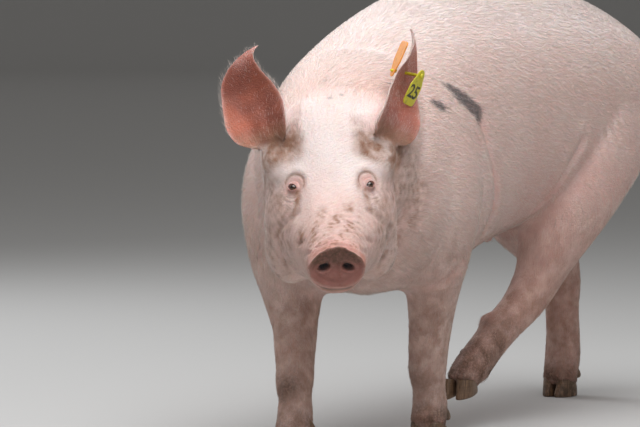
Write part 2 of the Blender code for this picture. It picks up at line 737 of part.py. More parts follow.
def shifted_to_middle(objects):
    """Moves every mesh so that the middle of the whole model's floor rectangle is the origin."""
    points = np.array([vertex.co for obj in objects for vertex in obj.data.vertices])
    low, high = points.min(axis=0), points.max(axis=0)
    move = Matrix.Translation((-(low[0] + high[0]) / 2, -(low[1] + high[1]) / 2, -low[2]))
    for obj in objects:
        obj.data.transform(move)
    print("shift", tuple(round(v, 5) for v in move.translation))
    return move


def build():
    for obj in list(bpy.data.objects):
        bpy.data.objects.remove(obj)
    body = trim_feet(flesh_whole())
    socket = grown(body, GAP)
    nodes = []
    for hand in (LEFT, RIGHT):
        ear = combined(ear_solid(hand), socket, "DIFFERENCE", keep_other=True)
        nodes.append(keep_largest(ear))
    nodes.append(keep_largest(combined(tail_solid(), socket, "DIFFERENCE", keep_other=True)))
    for name in FEET:
        for hand in (LEFT, RIGHT):
            nodes.append(claw_solid(name, hand))
            dewclaw = combined(dewclaw_solid(name, hand), socket, "DIFFERENCE", keep_other=True)
            nodes.append(keep_largest(dewclaw))
    bpy.data.objects.remove(socket)
    for hand in (LEFT, RIGHT):
        middle = head_point(hand * EYE_APART, *EYE_PLACE)
        reach = [EYE_RADIUS + GAP] * 3
        axes = (HEAD_SIDE, HEAD_NOSE, HEAD_BROW)
        combined(body, as_cutter(ball("hole", middle, axes, reach, 2)), "DIFFERENCE")
        nodes.append(ball(f"eye_{SIDE_NAMES[hand]}", middle, axes, [EYE_RADIUS] * 3, 2))
    nodes += tag_solids(nodes[0])
    nodes += part_flesh(body).values()
    shifted_to_middle(nodes)
    for obj in nodes:
        give_finish(obj)


def tag_solids(ear):
    """The two panels of the tag; the front one carries the pin, for which the ear gets a hole."""
    hole, faces = ear_point(LEFT, TAG_SHARE)
    front_at, back_at = (hole + panel[0] * faces for panel in (TAG_FRONT, TAG_BACK))
    front = panel_solid("ear_tag_front", front_at, *TAG_FRONT[1:])
    back = panel_solid("ear_tag_back", back_at, *TAG_BACK[1:])
    clear = as_cutter(rod("clear", front_at + 0.02 * faces, back_at - 0.03 * faces, PIN_RADIUS + GAP))
    combined(ear, clear, "DIFFERENCE", keep_other=True)
    combined(back, clear, "DIFFERENCE")
    combined(front, as_cutter(rod("pin", front_at, back_at - 0.008 * faces, PIN_RADIUS, 10)), "UNION")
    return [front, back]


build()
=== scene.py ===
# %% [markdown]
# # A walking white pig: skin, coat, eyes, claws and ear tag
#
# This lesson dresses a pig whose solids are already loaded. The flesh comes as many faceted pieces.
# Here one continuous skin takes their place, and bristles, eyes, claws and a tag are laid on it.
# Everything is in metres. The pig walks towards -Y, its left side is towards +X, and it stands on z = 0.

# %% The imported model
import json
import math
from contextlib import contextmanager

import bmesh
import bpy
import numpy as np
from mathutils import Matrix, Vector

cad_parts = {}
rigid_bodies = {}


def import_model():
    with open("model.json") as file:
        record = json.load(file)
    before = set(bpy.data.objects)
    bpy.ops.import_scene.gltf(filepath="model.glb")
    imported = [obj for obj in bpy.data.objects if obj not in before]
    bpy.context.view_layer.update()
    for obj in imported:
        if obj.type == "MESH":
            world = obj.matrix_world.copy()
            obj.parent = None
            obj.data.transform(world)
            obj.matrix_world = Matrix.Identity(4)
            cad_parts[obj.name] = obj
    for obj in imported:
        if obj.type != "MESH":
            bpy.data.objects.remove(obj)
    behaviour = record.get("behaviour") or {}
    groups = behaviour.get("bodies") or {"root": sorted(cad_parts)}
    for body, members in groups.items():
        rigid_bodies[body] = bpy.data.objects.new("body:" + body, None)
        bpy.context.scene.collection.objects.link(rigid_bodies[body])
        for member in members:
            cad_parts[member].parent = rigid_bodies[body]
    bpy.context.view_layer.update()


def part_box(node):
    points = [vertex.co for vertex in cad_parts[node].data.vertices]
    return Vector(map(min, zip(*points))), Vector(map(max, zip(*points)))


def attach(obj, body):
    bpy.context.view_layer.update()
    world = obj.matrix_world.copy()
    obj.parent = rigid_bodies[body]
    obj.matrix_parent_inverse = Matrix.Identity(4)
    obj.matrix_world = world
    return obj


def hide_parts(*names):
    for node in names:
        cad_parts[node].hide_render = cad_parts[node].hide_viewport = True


for leftover in list(bpy.data.objects):
    bpy.data.objects.remove(leftover)
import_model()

# %% [markdown]
# ## Making meshes from arrays
#
# A loft is a ring of points carried along a path. All its points are worked out as one array of the
# shape (rings, points in a ring, 3), and its faces follow from counting, so one helper serves the
# trunk, the legs, the ears, the tail and the claws. A pole closes each end.


# %% Lofts and grids
def linked(name, data):
    """A new object in the scene that holds this mesh, text, light or camera."""
    made = bpy.data.objects.new(name, data)
    bpy.context.collection.objects.link(made)
    return made


def mesh_object(name, points, faces):
    """An object whose mesh has these points and these quads or triangles."""
    mesh = bpy.data.meshes.new(name)
    mesh.from_pydata(np.asarray(points).tolist(), [], [face for group in faces for face in group.tolist()])
    return linked(name, mesh)


@contextmanager
def mesh_work(obj):
    """Opens the object's mesh for editing, and puts it back at the end."""
    work = bmesh.new()
    work.from_mesh(obj.data)
    work.verts.ensure_lookup_table()
    yield work
    work.to_mesh(obj.data)
    work.free()


def turned_out(obj):
    """Turns every face of a closed object outwards."""
    with mesh_work(obj) as work:
        bmesh.ops.recalc_face_normals(work, faces=work.faces)
        if work.calc_volume(signed=True) < 0:
            bmesh.ops.reverse_faces(work, faces=work.faces)
    return obj


def loft(name, rings):
    """A closed object through the rings: quads between neighbours, and a fan to the middle of each end ring."""
    count, width = rings.shape[:2]
    poles = np.stack([rings[0].mean(axis=0), rings[-1].mean(axis=0)])
    points = np.vstack([rings.reshape(-1, 3), poles])
    here = np.arange(width)
    ahead = (here + 1) % width
    row = width * np.arange(count - 1)[:, None]
    sides = np.stack([row + here, row + ahead, row + width + ahead, row + width + here], axis=-1).reshape(-1, 4)
    last = (count - 1) * width
    first_fan = np.stack([ahead, here, np.full(width, count * width)], axis=1)
    last_fan = np.stack([last + here, last + ahead, np.full(width, count * width + 1)], axis=1)
    return turned_out(mesh_object(name, points, [sides, first_fan, last_fan]))


def eased(rows, steps):
    """A Catmull-Rom curve through the rows, with this many steps between neighbours, as one array."""
    rows = np.array([np.hstack([np.ravel(entry) for entry in row]) for row in rows], float)
    padded = np.vstack([2 * rows[0] - rows[1], rows, 2 * rows[-1] - rows[-2]])
    before, start, end, after = (padded[i:len(padded) - 3 + i, None] for i in range(4))
    t = (np.arange(steps) / steps)[None, :, None]
    curve = 2 * start + (end - before) * t + (2 * before - 5 * start + 4 * end - after) * t**2
    curve = 0.5 * (curve + (3 * start - before - 3 * end + after) * t**3)
    return np.vstack([curve.reshape(-1, rows.shape[1]), rows[-1]])


def ovals(centres, across, upward, half_width, rise, drop, full_above=2.2, full_below=2.2, count=48):
    """One ring at each centre: width * |cos|^(2/fullness) sideways, and rise or drop * |sin|^(2/fullness) up."""
    angle = np.linspace(0, 2 * math.pi, count, endpoint=False)
    c, s = np.cos(angle), np.sin(angle)
    power = 2 / np.where(s > 0, full_above, full_below)
    sideways = np.outer(half_width, np.sign(c) * np.abs(c) ** power)
    reach = np.where(s > 0, np.reshape(rise, (-1, 1)), np.reshape(drop, (-1, 1)))
    height = reach * np.sign(s) * np.abs(s) ** power
    across, upward = (np.broadcast_to(way, centres.shape)[:, None] for way in (across, upward))
    return centres[:, None] + sideways[..., None] * across + height[..., None] * upward


def unit(ways):
    """The same directions, each with a length of 1."""
    return ways / np.maximum(np.linalg.norm(ways, axis=-1, keepdims=True), 1e-9)


def path_ways(points):
    """At each point of a path: the way across it that is nearest to the left, and the way to its front."""
    along = unit(np.gradient(points, axis=0))
    across = unit(np.array([1, 0, 0]) - along[:, :1] * along)
    return across, np.cross(along, across)


def metres(table):
    """Millimetres as metres, in rows of any depth."""
    return table / 1000 if isinstance(table, (int, float)) else tuple(metres(part) for part in table)


print("helpers for lofts are ready")

# %% [markdown]
# ## The head's own directions
#
# The head looks to one side, hangs down and leans a little. Its shape is simple in its own directions:
# to the pig's left, towards the snout, and out of the forehead. So its points are given in these,
# counted from between the eyes, and turned into the pig's frame at the end. The solid eyes say where
# that place is.

# %% Head directions
LEFT, RIGHT = 1, -1
SIDES = {LEFT: "left", RIGHT: "right"}
HEAD_TURN, HEAD_DROP, HEAD_ROLL = math.radians(32), math.radians(33), math.radians(2)
EYE_PLACE = (0.0665, 0.009, 0.003)  # an eye's centre: sideways, towards the snout, out of the forehead
EYE_RADIUS = 0.0125

BACKWARD, UPWARD = np.array([0, 1, 0]), np.array([0, 0, 1])
ahead_way = np.array([math.sin(HEAD_TURN), -math.cos(HEAD_TURN), 0])
left_way = np.array([math.cos(HEAD_TURN), math.sin(HEAD_TURN), 0])
HEAD_SIDE = math.cos(HEAD_ROLL) * left_way + math.sin(HEAD_ROLL) * UPWARD
top_way = math.cos(HEAD_ROLL) * UPWARD - math.sin(HEAD_ROLL) * left_way
HEAD_NOSE = math.cos(HEAD_DROP) * ahead_way - math.sin(HEAD_DROP) * top_way
HEAD_BROW = math.sin(HEAD_DROP) * ahead_way + math.cos(HEAD_DROP) * top_way
HEAD_WAYS = np.array([HEAD_SIDE, HEAD_NOSE, HEAD_BROW])

eye_middles = {hand: np.mean(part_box(f"eye_{SIDES[hand]}"), axis=0) for hand in SIDES}
BETWEEN_EYES = np.mean(list(eye_middles.values()), axis=0) - EYE_PLACE[1] * HEAD_NOSE - EYE_PLACE[2] * HEAD_BROW
SHIFT = BETWEEN_EYES - np.array([0.136, -0.78, 0.526])  # from the tables below to the pig's frame


def head_point(side, nose, brow):
    """The place in the pig's frame of a point given in the head's directions; takes arrays too."""
    return BETWEEN_EYES + np.multiply.outer(side, HEAD_SIDE) + np.multiply.outer(nose, HEAD_NOSE) \
        + np.multiply.outer(brow, HEAD_BROW)


def in_head(points):
    """Points of the pig's frame in the head's directions, as three columns."""
    return (points - BETWEEN_EYES) @ HEAD_WAYS.T


print("between the eyes", BETWEEN_EYES.round(4), "shift", SHIFT.round(4))

# %% [markdown]
# ## The viewpoint
#
# The pig is seen from its front left, from some metres away, with a long lens. A long lens keeps the
# head and the hindquarters at nearly one scale. The camera is level with the top of the back.
# It could be aimed with a constraint, but three plain angles are easier to read and never change.

# %% Camera
VIEW_TURN = math.radians(30)  # how far the camera has gone round from straight ahead of the pig
VIEW_DROP = math.radians(3.3)  # how far it looks down
CAMERA_AT = np.array([4.063, -7.623, 0.93]) + SHIFT
LENS, SENSOR = 239.1, 36  # millimetres

camera = linked("camera", bpy.data.cameras.new("camera"))
camera.data.lens, camera.data.sensor_width = LENS, SENSOR
camera.location = CAMERA_AT
camera.rotation_euler = (math.radians(90) - VIEW_DROP, 0, VIEW_TURN)
bpy.context.scene.camera = camera
print("camera", CAMERA_AT.round(3))

# %% [markdown]
# ## The body as lofts
#
# Each mass of the body is an oval carried along a path: the trunk from breast to rump, the neck, the
# head from poll to snout, and each leg from inside the trunk down to its hoof. Only a few stations
# are stated for each, and a smooth curve through them gives the rest. Sculpting could give the same
# shape, but stations can be read and changed.

# %% Trunk, neck and head stations
# The tables are in millimetres. Trunk: distance back, shift to the left, top, bottom, half width
TRUNK = metres([
    (-640, 34, 630, 450, 50), (-615, 32, 690, 385, 115),
    (-570, 20, 735, 330, 171), (-510, 10, 775, 303, 204),
    (-430, 3, 812, 298, 217), (-330, -4, 850, 305, 218),
    (-200, -8, 886, 335, 217), (-60, -10, 902, 368, 218),
    (80, -10, 910, 392, 219), (220, -6, 906, 420, 217),
    (360, 0, 886, 442, 208), (480, 8, 852, 464, 196),
    (580, 14, 812, 500, 172), (660, 20, 762, 540, 140),
    (708, 24, 720, 580, 100), (728, 26, 682, 615, 48),
])
TRUNK_WIDEST = 0.47  # share of the trunk's height at which it is widest
# neck: centre, half height, half width
NECK = metres([
    ((10, -420, 565), 225, 190), ((26, -510, 570), 205, 175),
    ((50, -590, 562), 182, 158), ((76, -655, 545), 160, 140),
    ((96, -700, 525), 130, 115),
])
# head: distance towards the snout, top, bottom, half width, widest level
HEAD = metres([
    (-215, 30, -130, 60, -50), (-192, 78, -172, 96, -45), (-148, 102, -200, 117, -55), (-98, 97, -213, 126, -78),
    (-48, 72, -214, 128, -98), (0, 44, -205, 123, -108), (42, 24, -187, 108, -104), (82, 13, -164, 87, -88),
    (118, 9, -147, 69, -68), (152, 8, -130, 59, -52), (178, 7, -112, 54, -42), (200, 13, -82, 55, -30),
    (217, 17, -70, 55, -25.5),
])
HEAD_LEAN = (0,) * 9 + (-1, -5, -11, -13.5)  # the lean of each section, in degrees
JOWL = ((0.076, -0.02, -0.15), (0.052, 0.085, 0.068))  # middle in the head's directions, and radii
EAR_BASE = ((0.093, -0.078, 0.008), (0.036, 0.06, 0.038))

# %% Leg stations
# from the body down to the hoof: centre, half width, reach to the front, reach to the back
LEGS = {
    "foreleg_left": metres([
        ((118, -430, 640), 85, 90, 120), ((128, -405, 540), 100, 120, 130),
        ((134, -385, 450), 90, 110, 112), ((125, -358, 370), 68, 80, 88),
        ((109, -335, 300), 51, 56, 68), ((94, -316, 235), 42, 46, 53),
        ((84, -306, 180), 39, 43, 45), ((80, -300, 140), 37, 42, 40),
        ((78, -292, 105), 33, 35, 37), ((76, -286, 72), 35, 34, 42),
        ((75, -288, 45), 35, 37, 40), ((75, -292, 20), 34, 40, 34),
    ]),
    "foreleg_right": metres([
        ((-108, -430, 640), 80, 90, 120), ((-124, -440, 540), 104, 114, 130),
        ((-131, -462, 450), 98, 112, 112), ((-121, -492, 370), 80, 86, 86),
        ((-100, -522, 300), 58, 60, 66), ((-76, -552, 235), 43, 47, 50),
        ((-61, -576, 180), 39, 43, 42), ((-52, -592, 140), 37, 41, 38),
        ((-45, -604, 105), 33, 34, 35), ((-39, -616, 72), 35, 33, 42),
        ((-36, -628, 45), 35, 37, 41), ((-34, -636, 20), 34, 40, 34),
    ]),
    "hindleg_left": metres([
        ((105, 400, 700), 90, 150, 175), ((112, 350, 600), 104, 175, 180),
        ((124, 275, 510), 96, 150, 125), ((126, 200, 430), 80, 112, 96),
        ((119, 145, 355), 60, 76, 72), ((108, 120, 300), 45, 52, 60),
        ((96, 90, 255), 40, 47, 48), ((78, 34, 205), 35, 41, 37),
        ((62, -14, 165), 34, 39, 37), ((51, -44, 136), 35, 39, 41),
        ((43, -64, 112), 36, 40, 40), ((38, -76, 88), 35, 40, 36),
    ]),
    "hindleg_right": metres([
        ((-88, 440, 700), 92, 160, 190), ((-102, 460, 600), 108, 200, 225),
        ((-112, 490, 510), 104, 190, 200), ((-117, 540, 430), 84, 150, 150),
        ((-116, 598, 350), 58, 96, 92), ((-112, 638, 295), 45, 62, 64),
        ((-109, 654, 245), 41, 47, 54), ((-106, 654, 190), 37, 39, 41),
        ((-103, 652, 140), 37, 37, 41), ((-100, 646, 95), 39, 38, 44),
        ((-98, 636, 60), 38, 40, 42), ((-98, 628, 20), 36, 41, 36),
    ]),
}


# %% The lofts themselves
def trunk_loft():
    """Upright ovals from the breast to the rump."""
    back, left, top, bottom, width = eased(TRUNK, 4).T
    level = bottom + TRUNK_WIDEST * (top - bottom)
    centres = np.stack([left, back, level], axis=1) + SHIFT
    return loft("trunk", ovals(centres, (1, 0, 0), (0, 0, 1), width, top - level, level - bottom, 2, 2.35, 72))


def tube_loft(name, stations, steps, columns, full, count):
    """Ovals across a path; the columns say which measures of a station are half width, reach forward and back."""
    rows = eased(stations, steps)
    across, front = path_ways(rows[:, :3])
    if name in LEGS:
        front = front * np.sign(-front[:, 1:2])
    half, ahead, behind = (rows[:, column] for column in columns)
    return loft(name, ovals(rows[:, :3] + SHIFT, across, front, half, ahead, behind, full, full, count))


def head_loft():
    """Ovals across the head, from the poll to the snout; the last few lean with the snout disc."""
    nose, top, bottom, width, widest, lean = eased(list(zip(HEAD, HEAD_LEAN)), 6).T
    tip = np.radians(lean)[:, None]
    upward = HEAD_BROW * np.cos(tip) + HEAD_NOSE * np.sin(tip)
    centres = head_point(0 * nose, nose, widest)
    return loft("head", ovals(centres, HEAD_SIDE, upward, width, top - widest, widest - bottom, 2.1, 2.2, 64))


def swelling_loft(name, hand, at, radii):
    """An ellipsoid as rings of latitude: radius times sine sideways, radius times cosine along."""
    latitude = np.linspace(0.02, math.pi - 0.02, 24)
    middle = head_point(hand * at[0], at[1], at[2])
    centres = middle + np.outer(radii[1] * np.cos(latitude), HEAD_NOSE)
    wide, high = (radius * np.sin(latitude) for radius in (radii[0], radii[2]))
    return loft(name, ovals(centres, HEAD_SIDE, HEAD_BROW, wide, high, high, 2, 2, 32))


lofts = [trunk_loft(), tube_loft("neck", NECK, 6, (4, 3, 3), 2.2, 48), head_loft()]
lofts += [tube_loft(leg, rows, 5, (3, 4, 5), 2.2, 36) for leg, rows in LEGS.items()]
for hand in SIDES:
    lofts += [swelling_loft("jowl", hand, *JOWL), swelling_loft("ear_base", hand, *EAR_BASE)]
print("lofts", [obj.name for obj in lofts])

# %% [markdown]
# ## One skin from many lofts
#
# The lofts overlap. A voxel remesh keeps only their common outside and turns it into even quads, and
# a few smoothing passes ease the joins, as flesh does. Boolean unions would keep each loft's own
# creases. Then the head gets finer quads, and the places round the eyes finer ones still, because
# that is where the eye of a visitor rests.

# %% Joining, remeshing and easing
VOXEL = 0.009
EASE_ROUNDS = 8


def worked_in(obj, kind, **settings):
    """Adds one modifier with these settings and replaces the mesh by its result."""
    modifier = obj.modifiers.new(kind.lower(), kind)
    for label, value in settings.items():
        setattr(modifier, label, value)
    bpy.context.view_layer.update()
    mesh = bpy.data.meshes.new_from_object(obj.evaluated_get(bpy.context.evaluated_depsgraph_get()))
    obj.modifiers.clear()
    obj.data = mesh
    return obj


def joined(name, objects):
    """One object that holds the meshes of several, which it takes out of the scene."""
    made = linked(name, bpy.data.meshes.new(name))
    with mesh_work(made) as work:
        for obj in objects:
            work.from_mesh(obj.data)
            bpy.data.objects.remove(obj)
    return made


def vertex_rows(obj, what):
    """One vector for each of the object's vertices, as one array."""
    flat = np.empty(len(obj.data.vertices) * 3, np.float32)
    obj.data.vertices.foreach_get(what, flat)
    return flat.reshape(-1, 3).astype(float)


def places(obj):
    """The object's vertices as one array of points."""
    return vertex_rows(obj, "co")


def put_back(obj, points):
    """Moves the object's vertices to these points."""
    obj.data.vertices.foreach_set("co", np.asarray(points, np.float32).ravel())
    obj.data.update()


def refined(obj, near):
    """Halves the edges whose two ends the function near() picks, so that their quads become four."""
    picked = near(places(obj))
    with mesh_work(obj) as work:
        edges = [edge for edge in work.edges if picked[edge.verts[0].index] and picked[edge.verts[1].index]]
        bmesh.ops.subdivide_edges(work, edges=edges, cuts=1, use_grid_fill=True)


skin = joined("pig_skin", lofts)
worked_in(skin, "REMESH", mode="VOXEL", voxel_size=VOXEL, adaptivity=0)
worked_in(skin, "SMOOTH", factor=0.5, iterations=EASE_ROUNDS)
print("body quads", len(skin.data.polygons))

# %% [markdown]
# ## Ears and tail
#
# An ear is a hollow leaf. Its middle line bends and twists from root to tip, its edges stand forward
# of that line, and its wall thins towards the rim, where it is rounded. A flat leaf could be bent
# with modifiers, but one formula for both skins of the leaf keeps the wall as thick as it should be.
# The tail is a tapered tube along a loose curl. A union joins them to the skin while it is coarse, and
# the places where they meet are eased afterwards, so that no crease is left.

# %% Ear and tail stations
# ear: share of its length, half width, how far the edges stand forward, thickness, bend to its back
EAR = [
    (-0.1, 0.016, 0.004, 0.03, 0.03), (0, 0.023, 0.006, 0.022, 0.01), (0.05, 0.027, 0.012, 0.018, 0),
    (0.1, 0.043, 0.022, 0.015, -0.006), (0.17, 0.055, 0.025, 0.011, -0.01), (0.3, 0.063, 0.024, 0.0085, -0.01),
    (0.45, 0.063, 0.018, 0.0068, -0.004), (0.61, 0.056, 0.012, 0.0058, 0), (0.75, 0.043, 0.009, 0.0052, -0.006),
    (0.88, 0.025, 0.005, 0.0046, -0.01), (0.96, 0.012, 0.003, 0.0042, -0.006), (1, 0.004, 0.001, 0.004, 0),
]
EAR_SWAY = {  # how far each ear's middle line sways outwards, row for row
    RIGHT: (0, 0, 0, -0.004, -0.009, -0.014, -0.021, -0.031, -0.036, -0.029, -0.014, 0),
    LEFT: (0, 0, 0, 0, 0, 0.004, 0.012, 0.022, 0.026, 0.016, 0.006, 0),
}
# each ear: root and tip in the head's directions, the way its hollow faces, its turn at root and tip (degrees)
EARS = {
    RIGHT: ((-0.098, -0.08, 0.02), (-0.126, -0.248, 0.152), (0.25, -0.8, -0.55), 0, 0),
    LEFT: ((0.09, -0.084, 0.02), (0.164, -0.249, 0.177), (1, 0, 0.03), -17, 27),
}
EAR_COLUMNS = 33
# tail: centre and radius under the coat
TAIL = metres([
    ((26, 690, 752), 18.8), ((27, 735, 750), 16.8), ((28, 768, 724), 12.8),
    ((24, 780, 680), 10.3), ((12, 782, 640), 8.8), ((-6, 790, 616), 7.8),
    ((-16, 812, 624), 6.8), ((-4, 828, 648), 5.8), ((16, 822, 644), 4.8),
    ((24, 808, 614), 3.8), ((20, 804, 580), 2.6),
])


# %% Ear and tail surfaces
EAR_ENDS = {hand: [head_point(*end) for end in EARS[hand][:2]] for hand in SIDES}


def ear_ways(hand, share):
    """At shares of an ear's length: points on its straight line, and the ways across it and out of its hollow."""
    root, tip = EAR_ENDS[hand]
    faces, turn_at_root, turn_at_tip = EARS[hand][2:]
    across = unit(np.cross(tip - root, faces))
    faces = unit(np.cross(across, tip - root))
    turn = np.radians(turn_at_root + (turn_at_tip - turn_at_root) * np.asarray(share))[..., None]
    centre = root + np.multiply.outer(share, tip - root)
    return centre, np.cos(turn) * across - np.sin(turn) * faces, np.cos(turn) * faces + np.sin(turn) * across


EAR_ROWS = {hand: eased(list(zip(EAR, EAR_SWAY[hand])), 5) for hand in SIDES}


def ear_column(share, hand, column):
    """One of an ear's stated measures (their order is that of its table) at shares of its length."""
    return np.interp(share, *EAR_ROWS[hand].T[[0, column]])


def ear_half(share, hand):
    """Half the width of an ear at shares of its length, never less than 10 mm."""
    return np.maximum(ear_column(share, hand, 1), 0.01)


def ear_spine(hand, share):
    """At shares of an ear's length: points on its bent middle line, and the ways across it and out of its hollow."""
    centre, across, faces = ear_ways(hand, share)
    bend, sway = (ear_column(share, hand, column)[:, None] for column in (4, 5))
    return centre - bend * faces + sway * across, across, faces


def ear_loft(hand):
    """Two skins side by side. The edges stand forward by stand * column^2, and the wall's half thickness
    falls to nothing at the rim as the root of 1 - column^8. Low ridges run along the hollow."""
    share, width, stand, thick = EAR_ROWS[hand].T[:4, :, None]
    spine, across, faces = ear_spine(hand, share[:, 0])
    column = np.sin(np.linspace(-math.pi / 2, math.pi / 2, EAR_COLUMNS))
    wall = 0.5 * thick * (1 - 0.35 * column**2) * np.sqrt(np.clip(1.02 - column**8, 0, 1))
    ridges = 0.0016 * np.cos(9 * column + 1.5 * share) * np.exp(-((share - 0.3) / 0.22) ** 2) * (1 - column**2)
    sheets = []
    for way, reach in ((1, wall + ridges), (-1, -wall)):
        sheet = spine[:, None] + (width * column)[..., None] * across[:, None]
        sheet = sheet + (stand * column**2 + reach)[..., None] * faces[:, None]
        sheets.append(sheet[:, ::way])
    return loft(f"ear_{SIDES[hand]}_leaf", np.concatenate(sheets, axis=1))


def added(obj, other):
    """The Boolean union of two closed objects. It returns the points that are new: those of the seam."""
    known = np.round(np.vstack([places(obj), places(other)]) * 1e5) @ np.array([1, 1e6, 1e12])
    worked_in(obj, "BOOLEAN", operation="UNION", object=other, solver="MANIFOLD")
    bpy.data.objects.remove(other)
    found = np.round(places(obj) * 1e5) @ np.array([1, 1e6, 1e12])
    return places(obj)[~np.isin(found, known)]


SEAMS = np.vstack([added(skin, part) for part in (
    ear_loft(LEFT), ear_loft(RIGHT), tube_loft("tail_tube", TAIL, 6, (3, 3, 3), 2, 16))])
print("seam points", len(SEAMS))
print("faces with ears and tail", len(skin.data.polygons))

# %% [markdown]
# ## Masks: where on the pig is a point?
#
# Folds, colours and the lie of the coat all ask the same thing: is this point on an ear, a leg, the
# snout? Each answer is a smooth number from 0 to 1, worked out for all points at once from their
# distance to a line or a place. The skin and each bristle ask the same functions, so that their
# markings agree.


# %% Masks
def step(low, high, value):
    """0 below low, 1 above high, and a smooth s-curve between."""
    t = np.clip((value - low) / (high - low), 0, 1)
    return t * t * (3 - 2 * t)


def bell(value, width):
    """The bell curve exp(-(value / width)^2)."""
    return np.exp(-((value / width) ** 2))


def off_path(points, path, ways=None):
    """The distance from each point to a path of straight lines; ways, if given, takes the path's direction there."""
    path = np.asarray(path, float)
    best = np.full(len(points), np.inf)
    for start, end in zip(path[:-1], path[1:]):
        line = end - start
        t = np.clip(((points - start) @ line) / (line @ line), 0, 1)
        away = np.linalg.norm(points - start - t[:, None] * line, axis=1)
        if ways is not None:
            ways[away < best] = unit(line)
        best = np.minimum(best, away)
    return best


def along_path(points, path):
    """The direction of a path where it is nearest to each point."""
    ways = np.zeros((len(points), 3))
    off_path(points, path, ways)
    return ways


def ear_places(points, hand):
    """Points in an ear's own measures: share of its length, metres across from its middle line, metres out
    of its hollow."""
    root, tip = EAR_ENDS[hand]
    share = (points - root) @ (tip - root) / ((tip - root) @ (tip - root))
    spine, across, faces = ear_spine(hand, share)
    rest = points - spine
    return share, np.sum(rest * across, axis=1), np.sum(rest * faces, axis=1)


def on_ear(points, hand):
    """1 on the leaf of an ear."""
    share, across, out = ear_places(points, hand)
    leaf = step(0.05, 0.14, share) * step(0.08, 0.07, np.abs(across))
    return leaf * step(0.045, 0.036, np.abs(out - 0.01)) * (share < 1.2)


def on_ears(points):
    """1 on the leaf of either ear."""
    return np.maximum(on_ear(points, LEFT), on_ear(points, RIGHT))


def on_tail(points):
    """1 on the tail."""
    return step(0.03, 0.022, off_path(points, TAIL_PATH)) * step(0.725, 0.735, points[:, 1] - SHIFT[1])


def on_head(points):
    """1 on the head in front of the neck."""
    side, nose, brow = in_head(points).T
    near = np.sqrt(side**2 + (brow + 0.06) ** 2)
    return step(-0.2, -0.12, nose) * step(0.22, 0.18, near)


def middle_line(rows):
    """The stated centres of a tube as a path in the pig's frame."""
    return np.array([row[0] for row in rows]) + SHIFT


TAIL_PATH = middle_line(TAIL)
LEG_SPANS = {leg: (middle_line(rows), height)  # each leg: its path, and the height at which it leaves the body
             for (leg, rows), height in zip(LEGS.items(), (0.34, 0.34, 0.4, 0.42))}


def on_legs(points, rise=0):
    """1 on the legs, below where they leave the body."""
    return np.max([
        step(0.12, 0.09, off_path(points, path[3:])) * step(height + rise + 0.04, height + rise - 0.04, points[:, 2])
        for path, height in LEG_SPANS.values()], axis=0)


print("mask functions are ready")

# %% Easing the roots of ears and tail
def weighted_smooth(obj, weights, rounds):
    """Smooths the mesh only where the weights say."""
    group = obj.vertex_groups.new(name="ease")
    for level in np.unique(np.round(weights, 1)):
        if level > 0:
            picked = np.flatnonzero(np.round(weights, 1) == level).tolist()
            group.add(picked, float(level), "REPLACE")
    worked_in(obj, "SMOOTH", factor=0.5, iterations=rounds, vertex_group="ease")
    obj.vertex_groups.clear()


def from_marks(points, marks):
    """The distance from each point to the nearest of the marks."""
    best = np.full(len(points), np.inf)
    for mark in marks:
        best = np.minimum(best, np.sum((points - mark) ** 2, axis=1))
    return np.sqrt(best)


def root_zones(points):
    """1 where an ear or the tail meets the body."""
    return bell(from_marks(points, SEAMS[::2]), SEAM_REACH)


def merged(obj, near, distance):
    """Makes one of the points that lie closer than this, where near() says so; slivers go with them."""
    picked = np.flatnonzero(near(places(obj)))
    with mesh_work(obj) as work:
        bmesh.ops.remove_doubles(work, verts=[work.verts[index] for index in picked], dist=distance)


SEAM_REACH = 0.013
merged(skin, lambda points: root_zones(points) > 0.5, 0.0028)
refined(skin, lambda points: root_zones(points) > 0.3)
weighted_smooth(skin, root_zones(places(skin)), 30)
refined(skin, lambda points: (on_head(points) > 0.3) & (on_ear(points, LEFT) + on_ear(points, RIGHT) < 0.5)
        & (root_zones(points) < 0.3))
print("faces with a finer head", len(skin.data.polygons))

# %% [markdown]
# ## Folds, lids, snout and nostrils
#
# The skin is now even and bare of detail. Each detail is a small push along the normal, or along a
# direction of its own, worked out for all vertices at once: a groove is a bell curve of the distance
# to a path, a pit a smooth step of the distance to a place. Sculpting by hand would look as good, but
# pushes can be named, moved and made deeper one by one.

# %% Finer quads where the details are
DISC_LEAN = math.radians(13.5)
DISC_MIDDLE = (0, 0.2165, -0.0255)  # of the snout disc, in the head's directions
DISC_HALF = (0.0545, 0.0425)
DISC_OUT = np.array([0, math.cos(DISC_LEAN), math.sin(DISC_LEAN)])
DISC_UP = np.array([0, -math.sin(DISC_LEAN), math.cos(DISC_LEAN)])
EYE_WAYS = {}  # each eye: towards its outer corner, up along the face, and out of the head
for hand in SIDES:
    out = np.array([hand * 0.62, 0.39, 0.68])
    corner = np.array([hand * 0.716, -0.635, -0.289])
    out, corner = unit(out), unit(corner)
    upward = hand * np.cross(corner, out)
    EYE_WAYS[hand] = np.array([corner, upward, out]) @ HEAD_WAYS


def eye_places(points, hand):
    """Points in an eye's own measures: towards its outer corner, up along the face, out of the head."""
    return ((points - eye_middles[hand]) @ EYE_WAYS[hand].T).T


def disc_places(points):
    """Points in the snout disc's own measures: to the left, up along the disc, out of it."""
    rest = in_head(points) - np.array(DISC_MIDDLE)
    return rest[:, 0], rest @ DISC_UP, rest @ DISC_OUT


def near_eyes(reach):
    """A test for refined(): is a point this near to an eye?"""
    return lambda points: np.min([np.linalg.norm(points - eye_middles[hand], axis=1) for hand in SIDES], axis=0) < reach


def near_disc(reach, depth):
    """A test for refined(): is a point near the snout disc?"""
    return lambda points: (np.abs(disc_places(points)[0]) < reach) & (disc_places(points)[2] > -depth)


